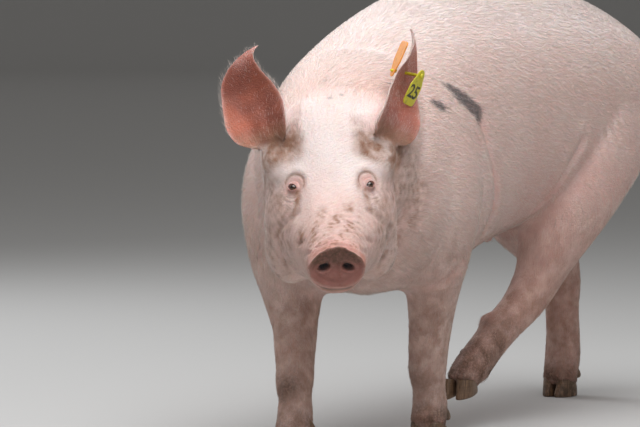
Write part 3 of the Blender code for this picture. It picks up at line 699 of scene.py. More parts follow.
refined(skin, near_eyes(0.036))
refined(skin, near_disc(0.08, 0.045))
refined(skin, near_eyes(0.026))
refined(skin, near_eyes(0.0185))
print("faces with fine eyes and snout", len(skin.data.polygons))
worked_in(skin, "SMOOTH", factor=0.5, iterations=1)


# %% Details of the body
def groove(points, path, width, depth):
    """A push of -depth * bell(distance to the path / width)."""
    return -depth * bell(off_path(points, path), width)


def lump(points, centre, radii, height):
    """A push of height * bell of the distance in units of the three radii."""
    return height * np.exp(-np.sum(((points - np.asarray(centre)) / np.asarray(radii)) ** 2, axis=1))


def ripples(points, way, wavelength):
    """A wavering row of ripples along a direction, from -1 to 1: the sine of a sum of sines."""
    along = points @ np.asarray(way)
    waver = 0.9 * np.sin(points @ np.array([23, 17, 31])) + 0.6 * np.sin(points @ np.array([-41, 37, 19]))
    return np.sin(2 * math.pi * along / wavelength + waver)


# folds of the body: path from the tables' origin, width and depth
BODY_FOLDS = metres([
    ([(208, -313, 632), (212, -282, 571), (208, -253, 524), (197, -232, 478),
      (169, -224, 416)], 15, 9),  # behind the left shoulder
    ([(190, -215, 440), (165, -190, 395), (120, -190, 350)], 10, 5),
    ([(-208, -330, 632), (-214, -300, 571), (-208, -270, 500), (-180, -250, 420)], 16, 6.5),
    ([(155, 30, 440), (176, 63, 480), (196, 90, 530), (204, 130, 580)], 13, 10),
    ([(-160, 190, 440), (-185, 220, 500), (-200, 260, 570)], 14, 6.5),
    ([(110, -420, 300), (161, -400, 322), (196, -356, 365)], 11, 7.5),  # elbow
    ([(-60, -545, 330), (-130, -500, 345), (-186, -440, 385)], 12, 5),
    ([(26, 735, 700), (26, 735, 640), (20, 690, 560), (10, 600, 480)], 16, 10),
    ([(0, -600, 340), (0, -450, 292), (0, -300, 290)], 20, 6),  # between the breasts
])
NECK_FOLDS = metres([
    ([(112, -100, 10), (118, -55, -60), (112, -20, -130), (92, 20, -190)], 13, 6),
    ([(-112, -100, 10), (-118, -60, -60), (-112, -30, -140), (-90, 10, -195)], 13, 6),
    ([(130, -150, -40), (134, -110, -110), (110, -70, -190), (50, -50, -235)], 18, 6),
    ([(-130, -150, -50), (-134, -120, -120), (-110, -80, -200), (-50, -60, -240)], 18, 6),
])
KNEE_CREASES = metres([  # below and above each knee, from its middle
    ([(-35, 20, -30), (0, -4, -27), (35, 20, -30)], 5, 2.8), ([(-35, 20, 34), (0, 4, 31), (35, 20, 34)], 6, 1.8)])
KNEES = {"foreleg_left": (0.078, -0.34, 0.135), "foreleg_right": (-0.05, -0.632, 0.13)}


def body_details(points):
    """All pushes along the normal on trunk, neck and legs."""
    own = points - SHIFT
    push = np.zeros(len(points))
    for path, width, depth in BODY_FOLDS:
        push += groove(own, path, width, depth)
        push += 0.35 * depth * bell(off_path(own, path), 2.6 * width)
    for path, width, depth in NECK_FOLDS:
        push += groove(in_head(points), path, width, depth)
    for middle in KNEES.values():
        push += lump(own, middle, (0.03, 0.022, 0.022), 0.0035)
        for path, width, depth in KNEE_CREASES:
            push += groove(own, np.add(middle, path), width, depth)
    flank = step(0.05, 0.3, own[:, 1]) * step(0.75, 0.55, own[:, 2]) * step(0.38, 0.45, own[:, 2])
    push += 0.0007 * flank * ripples(own, (0, 1, 0.25), 0.03)
    nape = step(-0.66, -0.6, own[:, 1]) * step(-0.44, -0.52, own[:, 1]) * step(0.6, 0.48, own[:, 2])
    push += 0.0007 * nape * ripples(own, (0.3, 0.9, 0.15), 0.036)
    spine = bell(own[:, 0], 0.02) * step(0.7, 0.78, own[:, 2]) * step(0.1, 0.3, own[:, 1])
    return push - 0.003 * spine * step(0.62, 0.45, own[:, 1])


TEATS = [(hand * 0.052, back) for hand in SIDES for back in np.linspace(-0.2, 0.4, 7)]


def teats(points):
    """Small cones on the belly, in two rows: height times a narrow bell of the distance in plan."""
    own = points - SHIFT
    below = step(0.02, 0, own[:, 2] - (0.372 + 0.19 * (own[:, 1] + 0.1)))
    push = np.zeros(len(points))
    for left, back in TEATS:
        away = np.hypot(own[:, 0] - left, own[:, 1] - back)
        push += 0.01 * bell(away, 0.011) + 0.003 * bell(away, 0.03)
    return push * below


print("body details are ready")


# %% Details of the head
EYE_BAGS = metres([(15, 0.9), (20, 1.2), (27.5, 1.2)])  # reach from the eye and depth of each fold below it
# grooves of the left side of the face in the head's directions: path, width and depth
FACE_GROOVES = metres([
    ([(60, 20, 6), (60, 42, 0), (66, 58, -12)], 3.5, 2.6),  # from the inner corner of the eye
    ([(70, 64, -12), (90, 54, -42), (105, 38, -75), (103, 50, -104), (94, 58, -130)], 7.5, 5.5),  # cheek
    ([(40, 182, 4), (54, 160, -12), (62, 128, -30), (68, 110, -50)], 4.2, 4.6),
    ([(50, 176, -20), (60, 150, -45)], 4, 3.6),
    ([(55, 184, -45), (62, 160, -66)], 4, 3.2),
    ([(26, 205, -86), (48, 186, -95), (58, 150, -106), (72, 110, -112), (88, 75, -112)], 4.2, 3.6),  # lip
])
# swellings of the left side of the face: middle, radii and height
FACE_LUMPS = metres([((70, 85, -45), (24, 40, 35), 4), ((108, 10, -60), (30, 35, 50), 3.5),
                     ((40, 60, 10), (14, 60, 20), 2.2)])
# wrinkles across the bridge: distance towards the snout and depth
BRIDGE_WRINKLES = metres([(148, 1), (160, 1.6), (170.5, 2.2), (181, 2.8), (190, 2.6)])


def head_details(points):
    """Pushes along the normal on the head: brow, folds about the eyes, wrinkles above the snout, mouth."""
    own = in_head(points)
    side, nose, brow = own.T
    push = np.zeros(len(points))
    for hand in SIDES:
        corner, upward, out = eye_places(points, hand)
        facing = step(-0.012, 0, out)
        arc = np.hypot(corner * 0.95, upward - 0.006)
        over = step(-0.004, 0.01, upward) * facing
        push -= 0.0012 * bell(arc - 0.02, 0.003) * over
        push += 0.0026 * bell(arc - 0.03, 0.0075) * over * step(0.034, 0, np.abs(corner))
        push -= 0.0006 * bell(arc, 0.016) * step(0.004, 0.016, upward) * facing
        bag = np.hypot(corner * 0.8, upward + 0.001)
        under = step(0.002, -0.006, upward) * facing
        for reach, depth in EYE_BAGS:
            push -= depth * bell(bag - reach, 0.0024) * under * step(0.028, 0.01, np.abs(corner))
        mirror = np.array([hand, 1, 1])
        for path, width, depth in FACE_GROOVES:
            push += groove(own, mirror * path, width, depth)
        for middle, radii, height in FACE_LUMPS:
            push += lump(own, mirror * middle, radii, height)
    bridge = step(0.06, 0.03, np.abs(side)) * step(-0.03, -0.008, brow)
    for place, depth in BRIDGE_WRINKLES:
        wavering = nose - place - 0.0025 * np.sin(90 * side + 300 * place) + 2 * side**2
        push -= depth * bell(wavering, 0.0026) * bridge
    push += 0.0008 * step(0.02, 0.1, nose) * ripples(own, (0.35, 0.9, 0.2), 0.012) * step(-0.1, -0.05, brow)
    push += groove(own, [(0, 0.02, 0.035), (0, 0.08, 0.014)], 0.012, 0.0015)
    push += groove(own, [(-0.014, 0.052, 0.021), (-0.011, 0.045, 0.024)], 0.004, 0.0015)
    return push


EYE_OPEN = (0.0106, 0.0062, 0.0058)  # half width of the opening, height above and below its middle
LID_WALL = 0.0013
LID_SOFT = 0.0018  # over how much height the lid's ball passes into the skin
LID_RIDGE = 0.0009
SOCKET_DEPTH = 0.0080


def eye_opening(corner, upward):
    """1 in the middle of the opening, 0 at its edge and less outside: an almond with rounded corners."""
    tall = np.where(upward > 0, EYE_OPEN[1], EYE_OPEN[2])
    return 1 - np.abs(corner / EYE_OPEN[0]) ** 1.9 - np.abs(upward / tall) ** 1.5


def lidded(points):
    """Lids over each eye: near the opening the skin follows a ball a little larger than the eye, where that
    stands out further: half the sum of both heights, plus half the root of their difference squared and a
    small constant squared. Inside the opening the skin sinks behind the eye."""
    moved = points.copy()
    for hand in SIDES:
        corner, upward, out = eye_places(points, hand)
        near = (out > -0.004) & (np.hypot(corner, upward) < 0.03)
        reach = np.hypot(corner / 1.12, upward)
        ball = np.sqrt(np.clip((EYE_RADIUS + LID_WALL) ** 2 - reach**2, 0, None))
        lid = np.where(reach < EYE_RADIUS, ball, 0)
        share = step(0.0235, 0.0095, reach)
        under = out - 0.001
        over = 0.5 * (lid + under + np.sqrt((lid - under) ** 2 + LID_SOFT**2))
        target = out + share * (over - out)
        opening = eye_opening(corner, upward)
        target = target + LID_RIDGE * bell(opening + 0.2, 0.18) * share
        target = target - SOCKET_DEPTH * step(-0.04, 0.26, opening)
        shift_out = np.where(near, target - out, 0)
        moved += shift_out[:, None] * EYE_WAYS[hand][2]
    return moved


NOSTRILS = ((-0.024, -0.0005), (0.02, -0.0015))
NOSTRIL_HALF = (0.0108, 0.0084)


def disc_ring(points):
    """How far a point is from the middle of the snout disc, as a share of the way to its rim."""
    left, upward, _ = disc_places(points)
    return np.hypot(left / DISC_HALF[0], upward / DISC_HALF[1])


def nostril_reach(points):
    """The distance to the nearer nostril's middle, in units of its half sizes."""
    left, upward, _ = disc_places(points)
    best = np.full(len(points), np.inf)
    for place_left, place_up in NOSTRILS:
        across, along = left - place_left, upward - place_up
        tilt = 0.35 * np.sign(place_left)
        best = np.minimum(best, np.hypot((across + tilt * along) / NOSTRIL_HALF[0], along / NOSTRIL_HALF[1]))
    return best


def snouted(points):
    """The disc: a rim, a hollow face, two nostrils, a groove between them and a waist behind the rim. At the
    end its upper half is drawn in sideways, so that it is wider below."""
    left, upward, out = disc_places(points)
    ring, hole = disc_ring(points), nostril_reach(points)
    front = step(-0.016, -0.004, out)
    push = 0.003 * bell(ring - 0.9, 0.1) - 0.002 * step(0.86, 0.66, ring)
    push += 0.002 * bell(upward + 0.023, 0.01) * step(0.8, 0.5, ring)
    push -= 0.002 * bell(left, 0.0035) * step(0.016, 0.004, upward) * step(-0.034, -0.016, upward)
    push += 0.002 * bell(hole - 1.3, 0.26) - 0.015 * step(1.08, 0.5, hole)
    moved = points + (push * front)[:, None] * (DISC_OUT @ HEAD_WAYS)
    waist = bell(out + 0.0135, 0.0055) * step(0.72, 0.9, ring) * step(-0.035, -0.028, upward)
    squeeze = -0.0035 * waist + 0.0015 * bell(out + 0.002, 0.004) * step(0.8, 0.95, ring)
    radial = (np.stack([left, upward], axis=1) / np.maximum(np.hypot(left, upward), 1e-6)[:, None])
    moved = moved + (squeeze[:, None] * radial) @ np.array([[1, 0, 0], DISC_UP]) @ HEAD_WAYS
    drawn = 0.4 * np.clip(upward / DISC_HALF[1], 0, 1) ** 1.4 * step(-0.04, -0.008, out)
    return moved - (drawn * left)[:, None] * HEAD_SIDE


SKIN_INSET = 0.0024  # how far the skin lies inside the solids where the coat is full


def coat_depth(points):
    """How far the skin lies inside the solids: the depth of the bristles, least on thin and bare places."""
    thin = np.maximum(on_ears(points), on_tail(points))
    bare = on_head(points) * step(0.06, 0.16, in_head(points)[:, 1])
    return SKIN_INSET * (1 - 0.95 * thin) * (1 - 0.75 * bare) * (1 - 0.5 * on_legs(points))


def detailed(obj):
    """Works all details into the mesh, the pushes along the normal first."""
    points, normals = places(obj), vertex_rows(obj, "normal")
    head = on_head(points) * (1 - on_ears(points))
    push = body_details(points) + teats(points) + head * head_details(points) - coat_depth(points)
    put_back(obj, snouted(lidded(points + push[:, None] * normals)))


HIP = ((-0.15, 0.585, 0.7), (0.1, 0.12, 0.1))  # middle and radii of the right hip, which is eased once more
detailed(skin)
weighted_smooth(skin, near_eyes(0.02)(places(skin)).astype(float), 2)
weighted_smooth(skin, lump(places(skin) - SHIFT, *HIP, 1), 30)
print("details worked in, box", places(skin).min(axis=0).round(3), places(skin).max(axis=0).round(3))

# %% [markdown]
# ## Where the skin ends in horn
#
# Below the top of the claws the skin narrows and ends inside them, so that the horn seems to grow out
# of it. Cutting the skin there and closing the hole would need a clean edge; narrowing does not.

# %% Coronets
FEET = {  # middle of the sole, turn out and dip of the toes in degrees, how far back the dewclaws sit
    "foreleg_left": ((0.076, -0.292, 0), 4, 0, 0.022),
    "foreleg_right": ((-0.034, -0.64, 0), 3, 0, 0.022),
    "hindleg_left": ((0.036, -0.088, 0.07), 4, 12, 0.078),
    "hindleg_right": ((-0.098, 0.624, 0), 4, 0, 0.022),
}
CLAW_HEIGHT = 0.034
CLAW_RISE = 0.3  # the coronet climbs this much for each metre towards the toes
CLAW_LENGTH = 0.07
CLAW_WIDTH = 0.033
CLEFT = 0.004


def foot_ways(name):
    """A foot's own directions, as rows: to the left, towards the toes, up."""
    _, turn, dip, _ = FEET[name]
    outward = math.radians(turn) * (1 if name.endswith("left") else -1)
    dip = math.radians(dip)
    cosine, sine = math.cos(outward), math.sin(outward)
    turned = np.array([[cosine, -sine, 0], [sine, cosine, 0], [0, 0, 1]])
    dipped = np.array([[1, 0, 0], [0, math.cos(dip), -math.sin(dip)], [0, math.sin(dip), math.cos(dip)]])
    return (turned @ dipped @ np.diag([1, -1, 1])).T


def foot_places(points, name):
    """Points in a foot's own measures: to the left, towards the toes, up from the sole."""
    return ((points - np.array(FEET[name][0]) - SHIFT) @ foot_ways(name).T).T


def coronet(points, name):
    """A foot's own measures, then the height above the top of its claws, and whether a point is near that foot."""
    left, toes, up = foot_places(points, name)
    return left, toes, up, up - CLAW_HEIGHT - CLAW_RISE * toes, (np.abs(left) < 0.07) & (np.abs(toes) < 0.09)


SKIN_LOW = 0.014  # height above the sole at which the skin ends


def hoofed(points):
    """Vertices below a coronet move towards the foot's own axis, and none goes lower than 14 mm."""
    moved = points.copy()
    for name in FEET:
        left, toes, up, above, near = coronet(points, name)
        near &= up < 0.1
        inward = step(0.004, -0.006, above) * near
        swell = 0.035 * bell(above - 0.008, 0.007) * near
        half = 0.5 * (CLEFT + CLAW_WIDTH)
        centre = np.where(left > 0, half, -half) * step(0, 0.006, np.abs(left))
        new_left = left + inward * 0.26 * (centre - left) + swell * left
        new_toes = toes * (1 - 0.24 * inward + swell)
        new_up = np.where(near & (up < SKIN_LOW), SKIN_LOW, up)
        change = np.stack([new_left - left, new_toes - toes, new_up - up], axis=1)
        moved += change @ foot_ways(name)
    return moved


put_back(skin, hoofed(places(skin)))
print("the skin ends inside the claws, lowest point", places(skin)[:, 2].min().round(4))

# %% [markdown]
# ## Claws and dewclaws
#
# Each claw is one surface of two parameters: round its edge, and up from the sole. The sole is flat,
# the toe wall leans forward, and the top follows the coronet. A carved box would need as many faces
# and a bevel on every edge.

# %% Claws
CLAW_ROWS = [  # height, toe, heel and width as shares of the claw's own
    (0, 0.86, 0.84, 0.8), (0.012, 0.93, 0.91, 0.89), (0.05, 0.985, 0.985, 0.97), (0.15, 0.985, 1, 0.99),
    (0.4, 0.86, 1, 1), (0.75, 0.7, 0.96, 1), (0.94, 0.6, 0.93, 0.99), (1, 0.56, 0.9, 0.95)]
CLAW_ROUND = 44
DEWCLAW_RADIUS = 0.0105
DEWCLAW_ROWS = [(0, 1), (0.2, 1.04), (0.35, 1.05), (0.55, 1), (0.7, 0.9), (0.84, 0.74), (0.92, 0.6), (0.975, 0.42),
                (1, 0.24)]  # share of the way to the tip, and width


def horn_piece(name, hand, kind, rings):
    """A closed piece of horn through the rings, and the name of the solid that it stands for."""
    side = "outer" if name.endswith("left") == (hand == LEFT) else "inner"
    return loft(f"horn_{name}_{kind}_{side}", np.array(rings) + SHIFT), f"{name}_{kind}_{side}"


def claw(name, hand):
    """Round the angle a: along = 0.5 length * share * cos(a)^0.9, across = 0.5 width * share * sin(a)^0.75,
    narrower towards the toe; the height rises towards the toes as the coronet does."""
    turns = np.linspace(0, 2 * math.pi, CLAW_ROUND, endpoint=False)
    cosine, sine = np.cos(turns), np.sin(turns)
    rings = []
    for high, toe, heel, wide in eased(CLAW_ROWS, 3):
        along = 0.5 * CLAW_LENGTH * np.where(cosine > 0, toe, heel) * np.sign(cosine) * np.abs(cosine) ** 0.9
        across = 0.5 * CLAW_WIDTH * wide * np.sign(sine) * np.abs(sine) ** 0.75
        narrowing = 1 - 0.42 * np.clip(along / (0.5 * CLAW_LENGTH), 0, 1) ** 2
        sideways = 0.5 * (CLEFT + CLAW_WIDTH * (1 - wide)) + (across + 0.5 * CLAW_WIDTH * wide) * narrowing
        upward = high * (CLAW_HEIGHT + CLAW_RISE * along)
        rings.append(np.stack([hand * sideways, along, upward], axis=1) @ foot_ways(name) + FEET[name][0])
    return horn_piece(name, hand, "claw", rings)


def dewclaw(name, hand):
    """A short blunt cone on a straight line from its root behind the foot, down and back to its tip."""
    middle, _, _, behind = FEET[name]
    left, toes, upward = foot_ways(name)
    root = np.array(middle) + 0.017 * hand * left - behind * toes + 0.066 * upward
    tip = np.array(middle) + 0.024 * hand * left - (behind + 0.026) * toes + 0.04 * upward
    way = unit(tip - root)
    across = unit(left - np.dot(left, way) * way)
    deep = np.cross(way, across)
    turns = np.linspace(0, 2 * math.pi, 28, endpoint=False)
    rings = []
    for share, wide in eased(DEWCLAW_ROWS, 2):
        ring = 0.85 * np.cos(turns)[:, None] * across + np.sin(turns)[:, None] * deep
        rings.append(root + share * (tip - root) + 0.97 * DEWCLAW_RADIUS * wide * ring)
    return horn_piece(name, hand, "dewclaw", rings)


horn = [make(name, hand) for name in FEET for hand in SIDES for make in (claw, dewclaw)]
print("claws and dewclaws", len(horn))

# %% [markdown]
# ## Eyes
#
# An eye is a ball turned about its own line of sight, with the clear front part bulging a little. The
# surface is one profile turned about that line, and each point keeps its own place before the eye as
# an attribute, so that the iris and pupil are drawn on it without an image.

# %% Eyeballs
def eyeball(hand):
    """The ball's radius times sine and cosine of the angle from the line of sight, plus a bulge in front."""
    polar = np.radians(np.concatenate([np.linspace(1.5, 40, 20), np.linspace(44, 150, 22)]))
    bulge_end = math.radians(34)
    bulge = 1 + 0.1 * np.clip(np.cos(polar / bulge_end * 0.5 * math.pi), 0, 1) ** 1.5 * (polar < bulge_end)
    turns = np.linspace(0, 2 * math.pi, 48, endpoint=False)
    radius = (EYE_RADIUS - 0.0003) * bulge
    flat = np.outer(radius * np.sin(polar), np.ones(48))
    own = np.stack([flat * np.cos(turns), flat * np.sin(turns), np.outer(radius * np.cos(polar), np.ones(48))], axis=-1)
    made = loft(f"eyeball_{SIDES[hand]}", own @ EYE_WAYS[hand] + eye_middles[hand])
    spots = ((places(made) - eye_middles[hand]) @ EYE_WAYS[hand].T).astype(np.float32)
    made.data.attributes.new("sight", "FLOAT_VECTOR", "POINT").data.foreach_set("vector", spots.ravel())
    return made


eyes = {hand: eyeball(hand) for hand in SIDES}
print("eyeballs", [obj.name for obj in eyes.values()])


# %% [markdown]
# ## The ear tag
#
# Two soft plastic panels and the pin that joins them through the ear. Each panel is its outline,
# repeated at several depths and drawn in a little at its faces, which rounds the edge. The number is
# flat mesh text, pressed just into the front panel.

# %% Tag panels, pin and number
TAG_SHARE = 0.67  # how far along the ear the pin goes through
TAG_THICK = 0.0022
TAG_WIDTH = 0.042
TAG_LENGTH = 0.072
TAG_NECK = 0.012  # radius of the round end about the pin
TAG_CORNER = 0.009
TAG_EDGE = 0.0006
TAG_BOW = 0.4
# each panel: how far its neck stands off the ear, the way it looks, and the way from it to its neck
TAG_FRONT = (0.034, (0.939, -0.07, -0.336), (0.343, 0.258, 0.903))
TAG_BACK = (-0.022, (-0.625, -0.683, 0.379), (-0.318, -0.236, -0.923))
PIN_RADIUS = 0.003
TAG_NUMBER = "25"
TAG_NUMBER_SIZE = 0.036


def panel_outline():
    """The outline about the pin as many even points: a rounded square that narrows to a round neck."""
    half, low = 0.5 * TAG_WIDTH, TAG_NECK - TAG_LENGTH
    neck = [(TAG_NECK * math.cos(a), TAG_NECK * math.sin(a)) for a in np.linspace(0, math.pi, 25)]
    corner = [(TAG_CORNER * (1 - math.sin(a)) - half, low + TAG_CORNER * (1 - math.cos(a)))
              for a in np.linspace(0.5 * math.pi, 0, 9)]
    left = [(-half, -TAG_NECK - TAG_CORNER)] + corner
    corners = np.array(neck + left + [(-x, y) for x, y in left[::-1]])
    closed = np.vstack([corners, corners[:1]])
    along = np.concatenate([[0], np.cumsum(np.linalg.norm(np.diff(closed, axis=0), axis=1))])
    spots = np.linspace(0, along[-1], 120, endpoint=False)
    even = np.stack([np.interp(spots, along, closed[:, axis]) for axis in (0, 1)], axis=1)
    for _ in range(3):
        even = 0.5 * even + 0.25 * (np.roll(even, 1, axis=0) + np.roll(even, -1, axis=0))
    return even


def bowed(upward):
    """How far a panel has bent back at a height: bow * (height + 20 mm)^2."""
    return TAG_BOW * (upward + 0.02) ** 2


def panel(name, neck, faces, upward):
    """Rings of the outline through the thickness, drawn in at both faces, and bent back a little."""
    faces, upward = unit(np.array([faces, upward]))
    across = np.cross(upward, faces)
    upward = np.cross(faces, across)
    outline = panel_outline()
    tangent = np.roll(outline, -1, axis=0) - np.roll(outline, 1, axis=0)
    outward = np.stack([tangent[:, 1], -tangent[:, 0]], axis=1) / np.linalg.norm(tangent, axis=1)[:, None]
    rings = []
    for share, inset in ((-0.5, 8), (-0.5, 3), (-0.5, 1), (-0.42, 0.35), (-0.25, 0), (0.25, 0), (0.42, 0.35),
                         (0.5, 1), (0.5, 3), (0.5, 8)):
        flat = outline - inset * TAG_EDGE * outward
        deep = share * TAG_THICK - bowed(flat[:, 1])
        rings.append(neck + flat[:, :1] * across + flat[:, 1:] * upward + deep[:, None] * faces)
    return loft(name, np.array(rings)), np.array([across, upward, faces])


def turned(name, start, way, profile):
    """A surface turned about a straight line: profile rows are distance along it and radius."""
    across = unit(np.cross(way, (0.3, 0.2, 0.9)))
    deep = np.cross(way, across)
    turns = np.linspace(0, 2 * math.pi, 32, endpoint=False)
    ring = np.cos(turns)[:, None] * across + np.sin(turns)[:, None] * deep
    return loft(name, np.array([start + along * way + radius * ring for along, radius in profile]))


tag_at, _, tag_way = (part[0] for part in ear_spine(LEFT, np.array([TAG_SHARE])))
front_at, back_at = tag_at + TAG_FRONT[0] * tag_way, tag_at + TAG_BACK[0] * tag_way
tag_front, tag_ways = panel("tag_front", front_at, *TAG_FRONT[1:])
tag_back, _ = panel("tag_back", back_at, *TAG_BACK[1:])
span = np.linalg.norm(front_at - back_at)
PIN_PROFILE = [(-0.0045, 0.0006), (-0.0044, 0.004), (-0.0036, 0.005), (-0.0012, 0.0052), (-0.0004, 0.0046),
               (0.0002, PIN_RADIUS), (span, PIN_RADIUS), (span + 0.0035, 0.0028), (span + 0.007, 0.0006)]
tag_pin = turned("tag_pin", front_at, -tag_way, PIN_PROFILE)
text = bpy.data.curves.new("tag_number", "FONT")
text.body, text.size, text.align_x, text.align_y = TAG_NUMBER, TAG_NUMBER_SIZE, "CENTER", "CENTER"
text.offset, text.extrude, text.resolution_u = 0.0007, 0.0003, 6
writing = linked("tag_number", text)
bpy.context.view_layer.update()
tag_number = linked("tag_number_mesh", bpy.data.meshes.new_from_object(
    writing.evaluated_get(bpy.context.evaluated_depsgraph_get())))
bpy.data.objects.remove(writing)
flat = places(tag_number) + np.array([0, -0.034, 0.5 * TAG_THICK])
flat[:, 2] -= bowed(flat[:, 1])
put_back(tag_number, flat @ tag_ways + front_at)
turned_out(tag_number)
print("tag panels, pin and number", len(tag_number.data.polygons))

# %% [markdown]
# ## Markings
#
# Dirt, stains, flushed skin and the few dark marks are masks too, and so are some painted shade and
# painted highlight: each is a number from 0 to 1 worked out from places on the body. The skin keeps
# them as attributes of its vertices, and each bristle as attributes of its own, taken at its root. One
# group of nodes then mixes both into a colour, so that the markings of skin and coat agree. Painting an
# image would do it once; masks still hold when the shape changes.

# %% Where the markings are
# dark marks on the shoulder: path from the tables' origin, and its reach at the ends and in the middle
DARK_MARKS = metres([([(174, -406, 708), (192, -366, 682), (204, -330, 652), (209, -312, 626)], 5, 13.5),
                     ([(182, -472, 679), (195, -445, 659)], 4, 8.5)])
# in the head's directions: a path, and places with their reach
CHEEK_MARK = metres([(107, 36, -75), (103, 51, -104), (95, 58, -128)])
NOSE_STAINS = metres([((-22, 96, 7), 13), ((7, 115, 8), 15), ((-63, 113, -33), 17), ((-11, 188, 9), 16),
                      ((30, 80, 4), 11), ((-40, 150, -10), 13)])
POLL_SPECKS = metres([((6, -146, 100), 6), ((29, -162, 95), 5), ((0, -224, 88), 7)])
TEAR_STAIN = metres([(62, 26, 4), (68, 50, -4), (78, 64, -24)])
# the line along the mouth where painted shade lies under the snout
MOUTH_SHADE_LINE = metres([(-46, 196, -85), (0, 206, -80), (46, 196, -85)])
# mud on knees and hocks: place from the tables' origin, and strength
MUDDY_JOINTS = [(KNEES["foreleg_left"], 0.55), (KNEES["foreleg_right"], 0.95), ((0.1, 0, 0.206), 0.55),
                ((-0.112, 0.69, 0.29), 0.4)]
FOOT_TOPS = {"foreleg_left": 0.1, "foreleg_right": 0.1, "hindleg_left": 0.17, "hindleg_right": 0.1}


def waver(points, size, seed):
    """A soft uneven pattern from -1 to 1 with blotches of about this size: a product of wavering sines."""
    turns = np.random.default_rng(seed).uniform(0, 2 * math.pi, 9)
    x, y, z = (points / size).T
    one = np.sin(x + 1.7 * np.sin(y + turns[0]) + turns[1]) * np.sin(y + 1.3 * np.sin(z + turns[2]) + turns[3])
    two = np.sin(1.9 * z + 1.5 * np.sin(x + turns[4]) + turns[5])
    return 0.62 * one + 0.38 * two * np.sin(2.3 * x + turns[6] + np.sin(2.1 * y + turns[7]))


def strongest(found):
    """The largest of several masks at each point, held between 0 and 1."""
    return np.clip(np.max(found, axis=0), 0, 1)


def dirt_at(points):
    """Dried mud: on the feet, the knees and hocks, a little on the belly, and on the upper snout disc."""
    own = points - SHIFT
    found = []
    patches = 0.5 + 0.5 * waver(points, 0.012, 3)
    for name, top in FOOT_TOPS.items():
        left, toes, up = foot_places(points, name)
        near = (np.abs(left) < 0.07) & (np.abs(toes) < 0.1)
        shin = 0.3 * step(top + 0.07, top, up) * patches
        found.append(near * (0.8 * step(top, 0.03, up) * (0.45 + 0.55 * patches) + shin))
    for middle, strength in MUDDY_JOINTS:
        found.append(strength * lump(own, middle, (0.034, 0.026, 0.032), 1) * (0.5 + 0.5 * patches))
    belly = step(0.46, 0.36, own[:, 2]) * step(-0.4, -0.2, own[:, 1]) * (1 - on_legs(points, 0.1))
    found.append(0.26 * belly * patches)
    found.append(0.9 * step(1.4, 0.2, off_path(in_head(points), CHEEK_MARK) / 0.011) * patches)
    left, upward, out = disc_places(points)
    disc = step(-0.012, -0.003, out) * step(1.04, 0.9, disc_ring(points))
    upper = step(-0.012, 0.016, upward + 0.004 * waver(points, 0.006, 5))
    found.append(disc * upper * (0.8 + 0.2 * waver(points, 0.005, 6)))
    return strongest(found)


def hollow_of(points, hand):
    """1 in the hollow of an ear, 0 on its back: which side of the leaf's middle surface is the point on?"""
    share, across, out = ear_places(points, hand)
    half, stand = (ear_column(share, hand, column) for column in (1, 2))
    middle = stand * np.clip(across / np.maximum(half, 0.004), -1.1, 1.1) ** 2
    return step(-0.0006, 0.0014, out - middle) * on_ear(points, hand)


def hollow_backlight_and_shade_at(points):
    """The bare skin inside the ears, partly its own red-brown and partly painted light shining through the ear and
    painted shade in the hollow, fuller in the right ear than the left; it fades towards the tip and the rim.
    """
    found = []
    for hand in SIDES:
        share, across, _ = ear_places(points, hand)
        fade = step(1.05, 0.78, share + 0.05 * waver(points, 0.02, 2))
        fade = fade * step(1.02, 0.84, np.abs(across) / ear_half(share, hand))
        # painted light through the ear and painted shade in its hollow, fuller in the right ear
        found.append(hollow_of(points, hand) * fade * (1 if hand == RIGHT else 0.62))
    return strongest(found)


def flush_and_shade_at(points):
    """Pinker, barer skin: inside the ears, round the eyes, lips, snout, teats; painted shade with pinker skin between
    the legs and on the lower rear flanks and thighs; pinker and darker along the folds.
    """
    own = points - SHIFT
    nose = in_head(points)[:, 1]
    head = on_head(points)
    found = [0.62 * head * step(0.15, 0.2, nose) + 0.15 * head * step(0.02, 0.12, nose)]
    for hand in SIDES:
        corner, upward, out = eye_places(points, hand)
        ring = np.hypot(corner / 1.15, upward - 0.004)
        lids = step(0.03, 0.01, ring) * step(-0.01, 0, out)
        found.append((0.52 + 0.16 * waver(points, 0.009, 16)) * lids)
        found.append(0.25 * on_ear(points, hand) + 0.75 * hollow_of(points, hand))
    found.append(0.55 * on_tail(points))
    # painted shade with pinker skin under the belly, between the legs
    groin_flush_and_shade = step(0.52, 0.4, own[:, 2]) * step(0.16, 0.05, np.abs(own[:, 0])) * step(-0.36, -0.1, own[:, 1])
    found.append(0.4 * groin_flush_and_shade)
    # painted shade with pinker skin on the lower rear flanks and thighs, in the shadow of the belly
    thigh_flush_and_shade = step(0.64, 0.46, own[:, 2]) * step(-0.2, 0.02, own[:, 1])
    found.append(0.34 * thigh_flush_and_shade)
    for left, back in TEATS:
        found.append(0.6 * groin_flush_and_shade * bell(np.hypot(own[:, 0] - left, own[:, 1] - back), 0.014))
    # pinker and darker along the body's folds
    for path, width, _ in BODY_FOLDS:
        found.append(0.42 * bell(off_path(own, path), 0.8 * width))
    for name in FEET:
        *_, above, near = coronet(points, name)
        found.append(0.5 * near * bell(above - 0.004, 0.01))
    return np.clip(np.max(found, axis=0) + 0.1 * waver(points, 0.045, 8), 0, 1)


